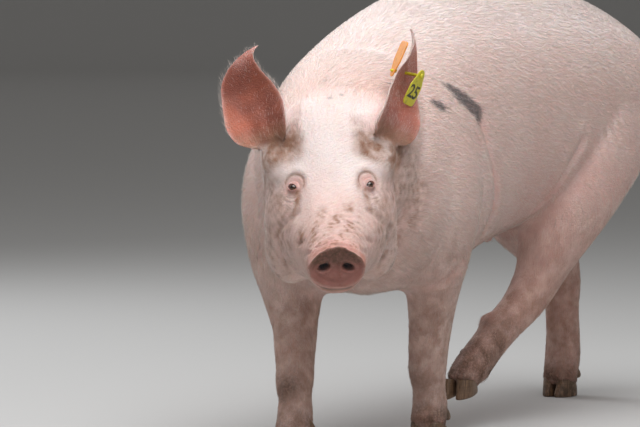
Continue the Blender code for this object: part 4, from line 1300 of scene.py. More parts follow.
def stain_and_shade_at(points):
    """Cream to brown stains on the bridge of the nose, under the eyes and at the ears' bases, and painted shade: in the
    crease above each eye, under the snout at the mouth, and over the legs and the lower body, darker towards the ground
    and partly dirt.
    """
    own = in_head(points)
    side, nose, brow = own.T
    head = on_head(points)
    patches = np.clip(0.55 + 0.75 * waver(points, 0.0055, 12), 0, 1)
    found = []
    for place, reach in NOSE_STAINS:
        found.append(0.95 * lump(own, place, (reach, 1.25 * reach, 2 * reach), 1) * patches)
    scurf = step(0.075, 0.105, nose) * step(0.2, 0.18, nose) * step(0.062, 0.04, np.abs(side))
    scurf = scurf * step(-0.05, -0.02, brow) * step(0.15, 0.65, waver(points, 0.0048, 14))
    found.append(0.85 * scurf * head)
    for hand in SIDES:
        tear = off_path(own, np.array([hand, 1, 1]) * TEAR_STAIN)
        found.append(0.9 * bell(tear, 0.009) * (0.4 + 0.6 * patches))
        share, across, out = ear_places(points, hand)
        foot = step(0.3, 0.1, share) * step(-0.3, -0.05, share) * step(0.08, 0.05, np.abs(across))
        foot = foot * step(-0.02, -0.04, nose)
        found.append(0.95 * foot * step(-0.012, 0.004, out) * (0.72 + 0.28 * patches))
        corner, upward, eye_out = eye_places(points, hand)
        # painted shade in the crease above each eye
        arc = bell(np.hypot(corner * 0.95, upward - 0.006) - 0.0205, 0.003) * step(-0.004, 0.008, upward)
        found.append(0.7 * arc * step(-0.012, 0, eye_out))
        inner = hand * (side - in_head(eye_middles[hand][None])[0, 0])
        wedge = np.exp(-((inner + 0.016) / 0.007) ** 2 - ((upward - 0.012) / 0.017) ** 2)
        found.append(0.62 * wedge * step(-0.016, -0.004, eye_out) * (0.5 + 0.5 * patches))
        rim = step(0.7, 1, np.abs(across) / ear_half(share, hand))
        found.append(0.3 * rim * on_ear(points, hand) * patches)
    # painted shadow under the snout disc, on the lips and chin
    mouth = lump(own, (0, 0.205, -0.088), (0.05, 0.03, 0.02), 1)
    found.append(0.85 * mouth * head)
    found.append(0.34 * head * step(0.04, 0.15, nose) * patches)
    found.append(0.62 * head * step(0.06, 0.09, np.abs(side)) * step(0.02, -0.02, brow) * patches)
    # painted shade, partly dirt: the legs and the lower body darker towards the ground
    low_dirt_and_shade = np.maximum(on_legs(points, 0.04) * step(0.42, 0.24, points[:, 2]), 0.6 * step(0.5, 0.36, points[:, 2]))
    found.append((0.4 + 0.28 * patches) * low_dirt_and_shade)
    return strongest(found) * (1 - 0.5 * bare_and_rim_highlight_at(points))


def dark_marks_and_shade_at(points):
    """The blue-grey marks on the shoulder and specks on the poll, and painted shade: near black in the nostrils and a
    dark line along the mouth under the snout.
    """
    own = points - SHIFT
    head_own = in_head(points)
    found = []
    edge = 1 + 0.35 * waver(points, 0.005, 21)
    for path, narrow, wide in DARK_MARKS:
        spots = eased(path, 4)
        for place, share in zip(spots, np.linspace(0, math.pi, len(spots))):
            reach = narrow + (wide - narrow) * math.sin(share)
            away = np.linalg.norm((own - place) * (1, 0.55, 1), axis=1)
            found.append(0.8 * step(1.15, 0.7, away * edge / reach))
    for place, reach in POLL_SPECKS:
        found.append(0.55 * step(1.2, 0.4, np.linalg.norm(head_own - place, axis=1) * edge / reach))
    _, _, out = disc_places(points)
    # painted shade: the nostril pits near black
    found.append(step(1.02, 0.66, nostril_reach(points)) * step(-0.03, -0.018, out))
    # painted shadow: a dark line along the mouth under the snout
    found.append(0.6 * step(0.012, 0.002, off_path(head_own, MOUTH_SHADE_LINE)))
    return strongest(found)


def sunlit_and_pale_at(points):
    """Painted highlight where the light from above falls, together with the whiter dense coat: the back, the forehead
    and the poll.
    """
    own = points - SHIFT
    _, nose, brow = in_head(points).T
    # painted highlight: the top of the back lighter, as if lit from above
    back = step(0.68, 0.86, own[:, 2]) * (1 - on_head(points))
    forehead = on_head(points) * step(0.1, -0.02, nose) * step(-0.03, 0.03, brow)
    return np.clip(np.maximum(back, forehead) * (0.85 + 0.15 * waver(points, 0.04, 9)), 0, 1)


def bare_and_rim_highlight_at(points):
    """How bare the skin is: 1 on the snout disc and the lids' edges, 0 under the coat; less at the disc's rim, which
    leaves the rim lighter, partly its pinker colour and partly a painted highlight on the wet rim.
    """
    _, _, out = disc_places(points)
    ring = disc_ring(points)
    # a lighter rim on the disc: partly its pinker colour, partly a painted highlight on the wet rim
    found = [step(-0.014, -0.003, out) * step(1.1, 0.98, ring) * (1 - 0.45 * bell(ring - 0.97, 0.07))]
    for hand in SIDES:
        corner, upward, eye_out = eye_places(points, hand)
        found.append(0.5 * step(0.013, 0.0105, np.hypot(corner, upward)) * step(-0.006, 0, eye_out))
    return strongest(found)


MARKINGS = {"dirt": dirt_at, "flush_and_shade": flush_and_shade_at, "stain_and_shade": stain_and_shade_at, "dark": dark_marks_and_shade_at, "bare": bare_and_rim_highlight_at,
            "hollow": hollow_backlight_and_shade_at, "pale": sunlit_and_pale_at, "leg": on_legs, "face": on_head}


def keep(obj, name, values):
    """Keeps one number for each of the object's vertices as an attribute of this name."""
    obj.data.attributes.new(name, "FLOAT", "POINT").data.foreach_set("value", values.astype(np.float32))


def marked(obj, spots):
    """Keeps every marking at these spots."""
    for name, where in MARKINGS.items():
        keep(obj, name, where(spots))


marked(skin, places(skin))
print("markings on the skin", list(MARKINGS))

# %% [markdown]
# ## Materials from nodes
#
# A few small helpers build node trees: one adds a node, joins what feeds it and sets its values. The
# colour of the pig is one group, shared by skin and coat. Its inputs are the plain colour and how
# strongly flushed skin shows through, for pink skin shows it most and white bristles hardly at all.

# %% Helpers for materials
def linear(colour):
    """A colour of 0 to 255 values as the linear numbers that a shader takes; a node's output stays as it is."""
    if isinstance(colour, bpy.types.NodeSocket):
        return colour
    shares = [value / 255 for value in colour]
    return tuple(((share + 0.055) / 1.055) ** 2.4 if share > 0.04 else share / 12.92 for share in shares) + (1,)


class Nodes:
    """A node tree in the making. Most methods add one node and give back its output."""

    def __init__(self, tree):
        self.tree = tree
        self.where = self.add("TexCoord").outputs["Object"]

    def feed(self, node, inputs):
        """Sets a node's sockets, by name or number, to values, or joins them to other nodes' outputs."""
        for name, value in inputs.items():
            if isinstance(value, bpy.types.NodeSocket):
                self.tree.links.new(value, node.inputs[name])
            else:
                node.inputs[name].default_value = value

    def shader(self, **inputs):
        """Feeds the Principled node; an underscore in a name stands for a space."""
        self.feed(self.tree.nodes["Principled BSDF"], {name.replace("_", " "): value for name, value in inputs.items()})

    def add(self, kind, inputs=(), **settings):
        """Adds a node of this kind, with its inputs and settings."""
        node = self.tree.nodes.new("ShaderNode" + kind)
        for name, value in settings.items():
            setattr(node, name, value)
        self.feed(node, dict(inputs))
        return node

    def mixed(self, share, first, second):
        """A colour mix of two colours by a share."""
        return self.add("Mix", {0: share, 6: linear(first), 7: linear(second)}, data_type="RGBA").outputs[2]

    def between(self, share, first, second):
        """A mix of two values by a share."""
        return self.add("Mix", {0: share, 2: first, 3: second}).outputs[0]

    def sums(self, operation, *values, clamped=False):
        """One piece of arithmetic."""
        return self.add("Math", dict(enumerate(values)), operation=operation, use_clamp=clamped).outputs[0]

    def times(self, first, *others, clamped=False):
        """The product of several values, held between 0 and 1 if clamped."""
        *others, last = others
        for other in others:
            first = self.sums("MULTIPLY", first, other)
        return self.sums("MULTIPLY", first, last, clamped=clamped)

    def plus(self, value, share, base, clamped=False):
        """The value times its share, added to a base."""
        return self.sums("MULTIPLY_ADD", value, share, base, clamped=clamped)

    def ranged(self, value, low, high, new_low=0, new_high=1):
        """A value's smooth way from one range to another."""
        return self.add("MapRange", {"Value": value, "From Min": low, "From Max": high, "To Min": new_low,
                                     "To Max": new_high}, interpolation_type="SMOOTHSTEP").outputs["Result"]

    def noise(self, where, scale, detail=3, rough=0.55):
        """The value of a noise of this scale."""
        return self.add("TexNoise", {"Vector": where, "Scale": scale, "Detail": detail,
                                     "Roughness": rough}).outputs["Fac"]

    def squeezed(self, scale, turn=(0, 0, 0)):
        """Places turned and scaled differently along each axis."""
        return self.add("Mapping", {"Vector": self.where, "Scale": scale, "Rotation": turn}).outputs[0]

    def streaks(self, scale, detail=3, turn=(0, 0, 0)):
        """A noise drawn out along one axis."""
        return self.noise(self.squeezed(scale, turn), 1, detail)

    def cells(self, where, scale, feature):
        """The distance in a pattern of cells."""
        return self.add("TexVoronoi", {"Vector": where, "Scale": scale}, feature=feature).outputs["Distance"]

    def mask(self, name, kind="Fac"):
        """One of the kept attributes."""
        return self.add("Attribute", attribute_name=name).outputs[kind]

    def flat(self, across, upward):
        """Two values as a vector."""
        return self.add("CombineXYZ", {0: across, 1: upward}).outputs[0]

    def length(self, across, upward):
        """The length of the vector of two values."""
        return self.add("VectorMath", {0: self.flat(across, upward)}, operation="LENGTH").outputs["Value"]

    def bump(self, strength, distance, height):
        """Normals that follow a height."""
        return self.add("Bump", {"Strength": strength, "Distance": distance, "Height": height}).outputs[0]


def material(name):
    """A new material and its nodes."""
    made = bpy.data.materials.new(name)
    made.use_nodes = True
    return made, Nodes(made.node_tree)


def worn(obj, look):
    """Gives the object one material and smooth faces."""
    obj.data.materials.clear()
    obj.data.materials.append(look)
    obj.data.polygons.foreach_set("use_smooth", np.ones(len(obj.data.polygons), bool))
    return obj


print("helpers for materials are ready")

# %% The colour of the pig, shared by skin and coat
SKIN_COLOUR = (226, 196, 188)
BRISTLE_COLOUR = (250, 243, 236)


def pig_colour_group():
    """Plain colour in, marked colour out: lightened on top by a painted highlight, flushed, then stained, dirty and
    dark, each with its own grain; the flush, bare, hollow, stain and dark marks carry some painted light and shade as
    well.
    """
    group = bpy.data.node_groups.new("pig_colour", "ShaderNodeTree")
    for name, way, kind in (("Plain", "INPUT", "Color"), ("Show", "INPUT", "Float"), ("Color", "OUTPUT", "Color")):
        group.interface.new_socket(name=name, in_out=way, socket_type="NodeSocket" + kind)
    start, end = group.nodes.new("NodeGroupInput"), group.nodes.new("NodeGroupOutput")
    plain, show = start.outputs["Plain"], start.outputs["Show"]
    look = Nodes(group)
    broad, middle, fine = (look.noise(look.where, scale, 4) for scale in (7, 34, 210))
    colour = look.mixed(look.times(look.ranged(broad, 0.35, 0.7, 0, 0.3), show), plain, (220, 176, 166))
    # painted highlight: the pale mask lightens the top of the body as if lit from above, with the whiter coat there
    colour = look.mixed(look.times(look.mask("pale"), 0.62), colour, (247, 240, 238))
    # the flush mask also holds painted shade between the legs and on the lower thighs
    flush_and_shade = look.times(look.mask("flush_and_shade"), show, look.ranged(middle, 0.3, 0.62, 0.65, 1), clamped=True)
    colour = look.mixed(flush_and_shade, colour, (204, 134, 122))
    bare, hollow = (look.times(look.mask(name), most, show) for name, most in (("bare", 0.85), ("hollow", 0.92)))
    # the bare mask is lower at the snout disc's rim, a painted highlight that leaves the rim lighter
    colour = look.mixed(bare, colour, look.mixed(middle, (150, 92, 86), (124, 66, 58)))
    # the hollow colour is partly painted light shining through the ears and painted shade in their hollows
    colour = look.mixed(hollow, colour, look.mixed(look.ranged(broad, 0.38, 0.62), (178, 96, 70), (128, 66, 50)))
    # each marking: its name, the grain that breaks it up and that grain's range, and its two colours
    # the stain mask holds painted shade on the legs and lower body, in the lid creases and under the snout; the dark
    # mask holds painted shade in the nostrils and along the mouth
    for name, grain, limits, pale, deep in (
            ("stain_and_shade", middle, (0.28, 0.6, 0.55, 1.15), (182, 142, 116), (120, 76, 58)),
            ("dirt", fine, (0.3, 0.6, 0.6, 1.12), (112, 82, 62), (62, 44, 34)),
            ("dark", fine, (0.25, 0.6, 0.7, 1), (56, 58, 64), (56, 58, 64))):
        share = look.times(look.mask(name), look.ranged(grain, *limits), clamped=True)
        colour = look.mixed(share, colour, look.mixed(middle, pale, deep))
    group.links.new(colour, end.inputs["Color"])
    return group


PIG_COLOUR = pig_colour_group()


def pig_colour(look, plain, show):
    """The shared group in one material's tree."""
    return look.add("Group", {"Plain": plain, "Show": show}, node_tree=PIG_COLOUR).outputs["Color"]


def skin_look():
    """Skin: streaks along the lie of the coat, fine creases and pores, sweat-dry gloss, damp on the disc."""
    made, look = material("pig_skin_look")
    along_body = look.streaks((430, 34, 430), turn=(-0.22, 0, 0))
    along_leg = look.streaks((480, 480, 42))
    turned_face = look.squeezed((1, 1, 1), tuple(Matrix(HEAD_WAYS.tolist()).to_euler()))
    along_face = look.noise(look.add("VectorMath", {0: turned_face, 1: (520, 46, 520)},
                                     operation="MULTIPLY").outputs[0], 1)
    lie = look.between(look.mask("leg"), along_body, along_leg)
    streak = look.ranged(look.between(look.mask("face"), lie, along_face), 0.42, 0.68)
    covered = look.sums("SUBTRACT", 1, look.mask("bare"))
    pale = look.mixed(look.times(streak, covered, 0.55), SKIN_COLOUR, (244, 228, 220))
    crease = look.ranged(look.cells(look.squeezed((1, 0.45, 1)), 165, "DISTANCE_TO_EDGE"), 0, 0.16)
    height = look.plus(streak, 0.45, look.times(crease, 0.28))
    height = look.plus(look.streaks((22, 90, 30), 4), 0.55, height)
    height = look.plus(look.cells(look.where, 520, "F1"), 0.1, height)
    rough = look.ranged(look.noise(look.where, 60), 0.3, 0.7, 0.5, 0.66)
    rough = look.plus(look.times(look.mask("bare"), look.mask("face")), -0.24, rough)
    look.shader(Base_Color=pig_colour(look, pale, 1), Normal=look.bump(0.75, 0.0016, height),
                Roughness=look.plus(look.mask("dirt"), 0.18, rough, clamped=True), Specular_IOR_Level=0.42,
                Subsurface_Weight=0.28, Subsurface_Radius=(1, 0.35, 0.2), Subsurface_Scale=0.006)
    return made


worn(skin, skin_look())
print("the skin is dressed")

# %% [markdown]
# ## Horn, eyes and tag
#
# Horn grows downwards in rings, and its streaks run the other way; where it meets the ground it is
# scuffed and muddy. An eye is drawn by how far each point lies from its line of sight. The tag is
# moulded plastic: even in colour, with fine flow marks, scratches and dirt in patches.

# %% Horn, eyes and tag materials
def horn_look():
    """Brown horn, paler at the top, with growth rings across and streaks down."""
    made, look = material("claw_horn_look")
    height = look.add("SeparateXYZ", {0: look.where}).outputs["Z"]
    ring, streak = look.streaks((30, 30, 620)), look.streaks((420, 420, 30))
    mud = look.noise(look.where, 75, 5)
    colour = look.mixed(look.ranged(streak, 0.35, 0.65), (92, 68, 50), (138, 108, 82))
    colour = look.mixed(look.ranged(ring, 0.4, 0.62, 0, 0.35), colour, (70, 52, 40))
    muddy = look.times(look.ranged(mud, 0.38, 0.62), look.ranged(height, 0.06, 0.004, 0.25, 0.9))
    look.shader(Base_Color=look.mixed(muddy, colour, (74, 60, 48)), Roughness=look.ranged(muddy, 0, 1, 0.42, 0.8),
                Normal=look.bump(0.7, 0.0012, look.plus(ring, 0.7, look.times(mud, 0.4))))
    return made


def eye_look():
    """A dark brown iris with fine spokes, a pupil wider than it is high, and a reddish white about them."""
    made, look = material("eye_wet_look")
    sight = look.mask("sight", "Vector")
    split = look.add("SeparateXYZ", {0: sight})
    across, upward = split.outputs["X"], split.outputs["Y"]
    reach, angle = look.length(across, upward), look.sums("ARCTAN2", upward, across)
    spokes = look.noise(look.flat(look.times(angle, 7), look.times(reach, 260)), 1, 4)
    iris = look.mixed(look.ranged(spokes, 0.35, 0.68), (34, 18, 10), (96, 56, 30))
    iris = look.mixed(look.ranged(reach, 0.0062, 0.0082), iris, (22, 14, 12))
    pupil = look.length(look.times(across, 0.72), look.times(upward, 1.25))
    colour = look.mixed(look.ranged(pupil, 0.003, 0.0022), iris, (6, 5, 6))
    veins = look.noise(sight, 900, 4)
    white = look.mixed(look.ranged(veins, 0.45, 0.62), (150, 122, 108), (132, 70, 60))
    look.shader(Base_Color=look.mixed(look.ranged(reach, 0.0086, 0.0098), colour, white), Coat_Weight=1,
                Coat_Roughness=0.03, Normal=look.bump(0.1, 0.0004, spokes),
                Roughness=look.ranged(veins, 0.3, 0.7, 0.16, 0.26))
    return made


def plastic_look(name, colour, grime):
    """Soft moulded plastic: slight fading, flow marks, scratches and grime gathered in patches."""
    made, look = material(name)
    cloud, scratch = look.noise(look.where, 45, 4), look.streaks((900, 60, 500))
    faded = look.mixed(look.ranged(cloud, 0.35, 0.7, 0, 0.14), colour, (232, 212, 120))
    dirty = look.ranged(look.noise(look.where, 110, 6, 0.65), 0.52, 0.72, 0, grime)
    look.shader(Base_Color=look.mixed(dirty, faded, (92, 74, 44)), Normal=look.bump(0.35, 0.0004, look.plus(
        scratch, 0.6, cloud)), Roughness=look.ranged(scratch, 0.3, 0.7, 0.34, 0.52), Subsurface_Weight=0.1,
        Subsurface_Scale=0.003)
    return made


horn_material = horn_look()
for piece, _ in horn:
    worn(piece, horn_material)
eye_material = eye_look()
for piece in eyes.values():
    worn(piece, eye_material)
yellow = plastic_look("tag_yellow_look", (214, 204, 46), 0.55)
for piece in (tag_front, tag_pin):
    worn(piece, yellow)
worn(tag_back, plastic_look("tag_orange_look", (240, 146, 6), 0.45))
worn(tag_number, plastic_look("tag_ink_look", (28, 27, 24), 0.1))
print("materials", [look.name for look in bpy.data.materials])

# %% [markdown]
# ## The coat
#
# A pig's coat is thin: single bristles that lie back along the body, with pink skin between them. Each
# bristle here is a closed spike with three sides that rises from the skin and bends back over it. All
# bristles of a region are worked out as one array of the shape (bristles, 7 points, 3). Particle hair
# would be quicker to comb, but it isn't mesh, so it can't leave Blender with the model.
#
# First come the roots: places spread evenly over the skin's faces, more of them where the coat is
# dense. Then comes the way each bristle lies, from the same masks that place the folds.

# %% Roots on the skin
COAT_SEED = 41
BRISTLE_AREA = 1.55e-5  # square metres of skin for each bristle, where the coat is densest


def skin_faces(obj):
    """The skin as triangles: their corners, and the normals at these."""
    mesh = obj.data
    mesh.calc_loop_triangles()
    corners = np.empty(len(mesh.loop_triangles) * 3, np.int32)
    mesh.loop_triangles.foreach_get("vertices", corners)
    corners = corners.reshape(-1, 3)
    return places(obj)[corners], vertex_rows(obj, "normal")[corners]


def thickness(points):
    """How dense the coat is, from 0 to 1."""
    own = points - SHIFT
    dense = 0.62 + 0.38 * step(0.55, 0.75, own[:, 2])
    dense = dense * (1 - 0.45 * step(0.44, 0.36, own[:, 2]) * (1 - on_legs(points)))
    dense = dense + on_head(points) * (0.8 - dense)
    dense = dense + on_ears(points) * (0.85 - dense)
    dense = dense * (1 - 0.98 * bare_and_rim_highlight_at(points)) * (1 - 0.8 * hollow_backlight_and_shade_at(points)) * (1 - 0.5 * on_tail(points))
    _, _, out = disc_places(points)
    dense = dense * (1 - 0.8 * on_head(points) * step(-0.03, -0.014, out))
    for name in FEET:
        *_, above, near = coronet(points, name)
        dense = np.where(near, dense * step(-0.001, 0.004, above), dense)
    for hand in SIDES:
        corner, upward, out = eye_places(points, hand)
        dense = dense * np.where(out > -0.01, step(0.0125, 0.015, np.hypot(corner, upward)), 1)
    return dense


corners, corner_normals = skin_faces(skin)
random = np.random.default_rng(COAT_SEED)
edges = corners[:, 1:] - corners[:, :1]
areas = 0.5 * np.linalg.norm(np.cross(edges[:, 0], edges[:, 1]), axis=1)
wanted = areas * thickness(corners.mean(axis=1)) / BRISTLE_AREA
counts = np.floor(wanted + random.random(len(wanted))).astype(int)
picked = np.repeat(np.arange(len(counts)), counts)
weights = np.sort(random.random((len(picked), 2)), axis=1)
weights = np.stack([weights[:, 0], weights[:, 1] - weights[:, 0], 1 - weights[:, 1]], axis=1)
roots = np.einsum("ij,ijk->ik", weights, corners[picked])
outs = unit(np.einsum("ij,ijk->ik", weights, corner_normals[picked]))
print("roots", len(roots), "on", round(areas.sum(), 2), "square metres")


# %% The lie of the coat
def blended(first, second, share):
    """A mix of two directions by a share."""
    return first + share[:, None] * (second - first)


def along_skin(ways, normals):
    """The part of each direction that lies along the skin, with a length of 1."""
    return unit(ways - np.sum(ways * normals, axis=1)[:, None] * normals)


def near_root(points, hand):
    """1 round the root of an ear."""
    return step(0.16, 0.09, np.linalg.norm(points - EAR_ENDS[hand][0], axis=1))


def lie_of_coat(points, normals):
    """Which way bristles point, along the skin: back and down on the trunk, down the legs, from the snout up
    over the face, from root to tip on ears and tail."""
    own = points - SHIFT
    side, nose, brow = in_head(points).T
    down = -0.16 - 0.3 * step(0.05, 0.2, np.abs(own[:, 0])) - 1.1 * step(0.5, 0.72, own[:, 1])
    outward = 0.1 * np.sign(own[:, 0]) * step(0, 0.05, np.abs(own[:, 0]))
    way = np.stack([outward, np.ones(len(points)), down], axis=1)
    way = blended(way, np.array([0, 0.75, -0.6]), 0.6 * step(-0.5, -0.62, own[:, 1]))
    for path, height in LEG_SPANS.values():
        near = step(0.17, 0.1, off_path(points, path[2:])) * step(height + 0.16, height - 0.02, points[:, 2])
        way = blended(way, along_path(points, path) + np.array([0, 0.25, 0]), near)
    cheek = step(0.03, 0.09, np.abs(side)) * step(0.02, -0.06, brow)
    parted = 0.35 * np.sign(side) * step(0.01, 0.06, np.abs(side))
    face = -HEAD_NOSE + cheek[:, None] * (-0.45 * HEAD_BROW) + parted[:, None] * HEAD_SIDE
    way = blended(way, face, on_head(points))
    for hand in SIDES:
        root, tip = EAR_ENDS[hand]
        share, across, _ = ear_places(points, hand)
        _, ear_across, _ = ear_spine(hand, share)
        fanned = unit(tip - root) + 9 * across[:, None] * ear_across
        base = step(-0.2, 0.02, share) * step(0.1, 0.06, np.abs(across)) * (np.abs(side) > 0.05) * (nose < -0.05)
        way = blended(way, fanned, np.maximum(on_ear(points, hand), 0.8 * base * near_root(points, hand)))
    return along_skin(blended(way, along_path(points, TAIL_PATH), on_tail(points)), normals)


def bristle_length(points):
    """Metres from root to tip: longest on the crest of the back and the rims of the ears, shortest on the face."""
    own = points - SHIFT
    _, nose, brow = in_head(points).T
    long = 0.024 + 0.01 * step(0.8, 0.88, own[:, 2]) + 0.004 * step(0.45, 0.36, own[:, 2])
    head = 0.017 - 0.0095 * step(-0.12, 0.05, nose) - 0.002 * step(0.08, 0.16, nose)
    head = head + 0.006 * step(-0.06, -0.12, brow)
    long = long + on_head(points) * (head - long)
    long = long + on_legs(points) * (0.015 - long)
    for hand in SIDES:
        share, across, _ = ear_places(points, hand)
        rim = step(0.75, 0.97, np.abs(across) / ear_half(share, hand))
        foot = step(0.32, 0.08, share) * step(-0.15, 0, share) * step(0.09, 0.06, np.abs(across)) * (nose < -0.03)
        long = long + on_ear(points, hand) * (0.01 + 0.006 * rim - long)
        long = long + foot * near_root(points, hand) * (0.021 - long)
    return long * (1 - 0.35 * on_tail(points))


print("the lie of the coat is ready")

# %% [markdown]
# ## Bristles as arrays
#
# A bristle has a triangle at its root, a second one partway, and a tip. Its root sits a little inside
# the skin, so that no gap shows, and its tip comes down again towards the skin. Each region becomes a
# piece of its own, with a map named OFBake on which every bristle is one small patch. The patch lies
# at the bristle's root on the skin unrolled: round the trunk, a leg or the head one way, and along
# it the other.

# %% Growing bristles
BRISTLE_LOOPS = np.array([0, 2, 1, 0, 1, 4, 3, 1, 2, 5, 4, 2, 0, 3, 5, 3, 4, 6, 4, 5, 6, 5, 3, 6])
BRISTLE_SIDES = np.array([3, 4, 4, 4, 3, 3, 3])
PATCH = 0.003  # width of a bristle's patch on its map
ROOT_DEPTH = 0.0012  # how far a bristle starts under the skin
PATCH_PLACES = np.array([(0, 0), (0.5, 0), (1, 0), (0, 0.5), (0.5, 0.5), (1, 0.5), (0.5, 1)]) - 0.5


def bristle_points(roots, outs, ways, length, lift, width, droop):
    """Root ring, middle ring and tip: root + way * length * t + out * length * (lift * t - droop * t^2)."""
    across = np.cross(outs, ways)
    turns = 2 * math.pi * np.arange(3) / 3 + 0.5 * math.pi
    rings = []
    for t, thick in ((0, 1), (0.5, 0.8)):
        rise = length * (lift * t - droop * t * t) - ROOT_DEPTH * (t == 0)
        middle = roots + (length * t)[:, None] * ways + rise[:, None] * outs
        for turn in turns:
            rings.append(middle + (width * thick)[:, None] * (math.cos(turn) * across + math.sin(turn) * outs))
    rings.append(roots + length[:, None] * ways + (length * (lift - droop))[:, None] * outs)
    return np.stack(rings, axis=1)


def bristle_mesh(name, points, chart):
    """One object of many bristles, with each one's patch at its place on the chart."""
    count = len(points)
    mesh = bpy.data.meshes.new(name)
    mesh.vertices.add(count * 7)
    mesh.vertices.foreach_set("co", points.astype(np.float32).ravel())
    loops = (7 * np.arange(count)[:, None] + BRISTLE_LOOPS).astype(np.int32)
    sides = np.tile(BRISTLE_SIDES, count)
    mesh.loops.add(loops.size)
    mesh.loops.foreach_set("vertex_index", loops.ravel())
    mesh.polygons.add(len(sides))
    mesh.polygons.foreach_set("loop_start", (np.cumsum(sides) - sides).astype(np.int32))
    spread = (chart[:, None] + PATCH * PATCH_PLACES)[:, BRISTLE_LOOPS]
    mesh.uv_layers.new(name="OFBake").data.foreach_set("uv", spread.astype(np.float32).ravel())
    mesh.update(calc_edges=True)
    return linked(name, mesh)


def round_chart(points, centres, along, upward, low, high):
    """Unrolled round a path: the angle about it one way, the distance along it the other, both from 0 to 1."""
    rest = points - centres
    side = np.cross(along, upward)
    angle = np.arctan2(rest @ side, rest @ upward) / (2 * math.pi) + 0.5
    far = (points @ along - low) / (high - low)
    return 0.01 + 0.98 * np.clip(np.stack([angle, far], axis=1), 0, 1)


def line_chart(line, axis, *unrolling):
    """A chart round a path, whose nearest point is the one at the same place along one axis."""
    def chart(points):
        centres = [np.interp(points[:, axis], line[:, axis], column) for column in line.T]
        return round_chart(points, np.stack(centres, axis=1), *unrolling)
    return chart


def head_chart(points):
    """A chart round the line from the poll to the snout."""
    middle = BETWEEN_EYES @ HEAD_NOSE
    return round_chart(points, BETWEEN_EYES - 0.06 * HEAD_BROW, HEAD_NOSE, HEAD_BROW, middle - 0.3, middle + 0.24)


def ear_chart(hand):
    """Both faces of the leaf side by side: across it one way, along it the other."""
    def chart(points):
        share, across, out = ear_places(points, hand)
        half = 0.25 + 0.22 * np.clip(across / 0.08, -1, 1) + 0.5 * (out > 0.1 * np.abs(across) - 0.001)
        return np.stack([half, 0.02 + 0.96 * np.clip((share + 0.25) / 1.5, 0, 1)], axis=1)
    return chart


def tail_chart(points):
    """The angle about the tail one way, the stations passed along it the other."""
    passed = np.argmin(np.linalg.norm(points[:, None] - TAIL_PATH, axis=2), axis=1)
    rest = points - TAIL_PATH[passed]
    angle = np.arctan2(rest[:, 0], rest[:, 2]) / (2 * math.pi) + 0.5
    far = np.clip((passed + 0.5 + 30 * rest[:, 1]) / (len(TAIL_PATH) + 1), 0, 1)
    return 0.01 + 0.98 * np.stack([angle, far], axis=1)


def regions(points):
    """The number of the region that each point belongs to, in the order of CHARTS."""
    own = points - SHIFT
    found = 2 * (own[:, 1] > -0.05) + (own[:, 0] < 0)
    high = own[:, 2] > np.interp(own[:, 1], [-0.6, 0.7], [0.6, 0.66])
    found = np.where(high, found, found + 4)
    for number, (path, height) in enumerate(LEG_SPANS.values()):
        found[(off_path(points, path[3:]) < 0.12) & (points[:, 2] < height)] = 8 + number
    found[on_head(points) > 0.3] = 12
    for hand in SIDES:
        found[on_ear(points, hand) > 0.3] = 13 + (hand == RIGHT)
    found[on_tail(points) > 0.3] = 15
    return found


trunk_line = np.array([(left, back, 0.5 * (top + bottom)) for back, left, top, bottom, _ in TRUNK]) + SHIFT
CHARTS = [(f"coat_{level}_{part}_{side}", line_chart(trunk_line, 1, BACKWARD, UPWARD, -0.8, 0.8))
          for level in ("back", "flank") for part in ("front", "rear") for side in ("left", "right")]
CHARTS += [(f"coat_{name}", line_chart(path[::-1], 2, UPWARD, BACKWARD, 0, 0.62))
           for name, (path, _) in LEG_SPANS.items()]
CHARTS += [("coat_head", head_chart), ("coat_ear_left", ear_chart(LEFT)), ("coat_ear_right", ear_chart(RIGHT)),
           ("coat_tail", tail_chart)]


def bristle_look():
    """White bristles: paler at the tips, each a little different, with the markings of the skin beneath."""
    made, look = material("pig_coat_look")
    each = look.mask("each")
    plain = look.mixed(each, BRISTLE_COLOUR, (242, 228, 218))
    plain = look.mixed(look.ranged(look.mask("tip"), 0, 1, 0.45, 0), plain, (236, 206, 196))
    look.shader(Base_Color=pig_colour(look, plain, 0.25), Roughness=look.ranged(each, 0, 1, 0.42, 0.6),
                Normal=look.bump(0.2, 0.0002, look.noise(look.where, 900, 2)))
    return made


coat_look = bristle_look()


def grown(name, roots, outs, ways, length, lift, width, droop, chart):
    """One piece of coat: its bristles, their markings and their look."""
    made = bristle_mesh(name, bristle_points(roots, outs, ways, length, lift, width, droop), chart(roots))
    marked(made, np.repeat(roots, 7, axis=0))
    keep(made, "each", np.repeat(random.random(len(roots)), 7))
    keep(made, "tip", np.tile([0, 0, 0, 0.5, 0.5, 0.5, 1], len(roots)))
    return worn(made, coat_look)


ways = lie_of_coat(roots, outs)
loose = 0.11 - 0.05 * on_head(roots)[:, None]
swirl = 1.3 * loose * waver(roots, 0.02, 31)[:, None]
ways = along_skin(ways + swirl * np.cross(outs, ways) + loose * random.normal(size=ways.shape), outs)
length = bristle_length(roots) * random.uniform(0.75, 1.2, len(roots))
lift = random.uniform(0.05, 0.19, len(roots))
width = np.interp(length, [0.005, 0.012, 0.03], [0.00013, 0.00019, 0.0003])
width = width * random.uniform(0.85, 1.15, len(roots))
bristles = (roots, outs, ways, length, lift, width, 0.66 * lift)
own_region = regions(roots)
coat_pieces = []
for number, (name, chart) in enumerate(CHARTS):
    here = own_region == number
    coat_pieces.append(grown(name, *(part[here] for part in bristles), chart))
    print(name, 10 * int(here.sum()), "triangles")

# %% [markdown]
# ## Floor, light and air
#
# A broad soft light from above and a weaker one from the camera's left make the back bright and the
# belly dim, as under a cloudy sky. The floor is a plain pale dish: flat round the pig, and turned up
# into a wall so far away that it never stands between a viewer and the pig.

# %% Floor, lights and world
FLOOR_REACH = 30  # metres of flat floor all round, so that no view has the wall before the pig
FLOOR_BEND = 4
WALL_TOP = 8


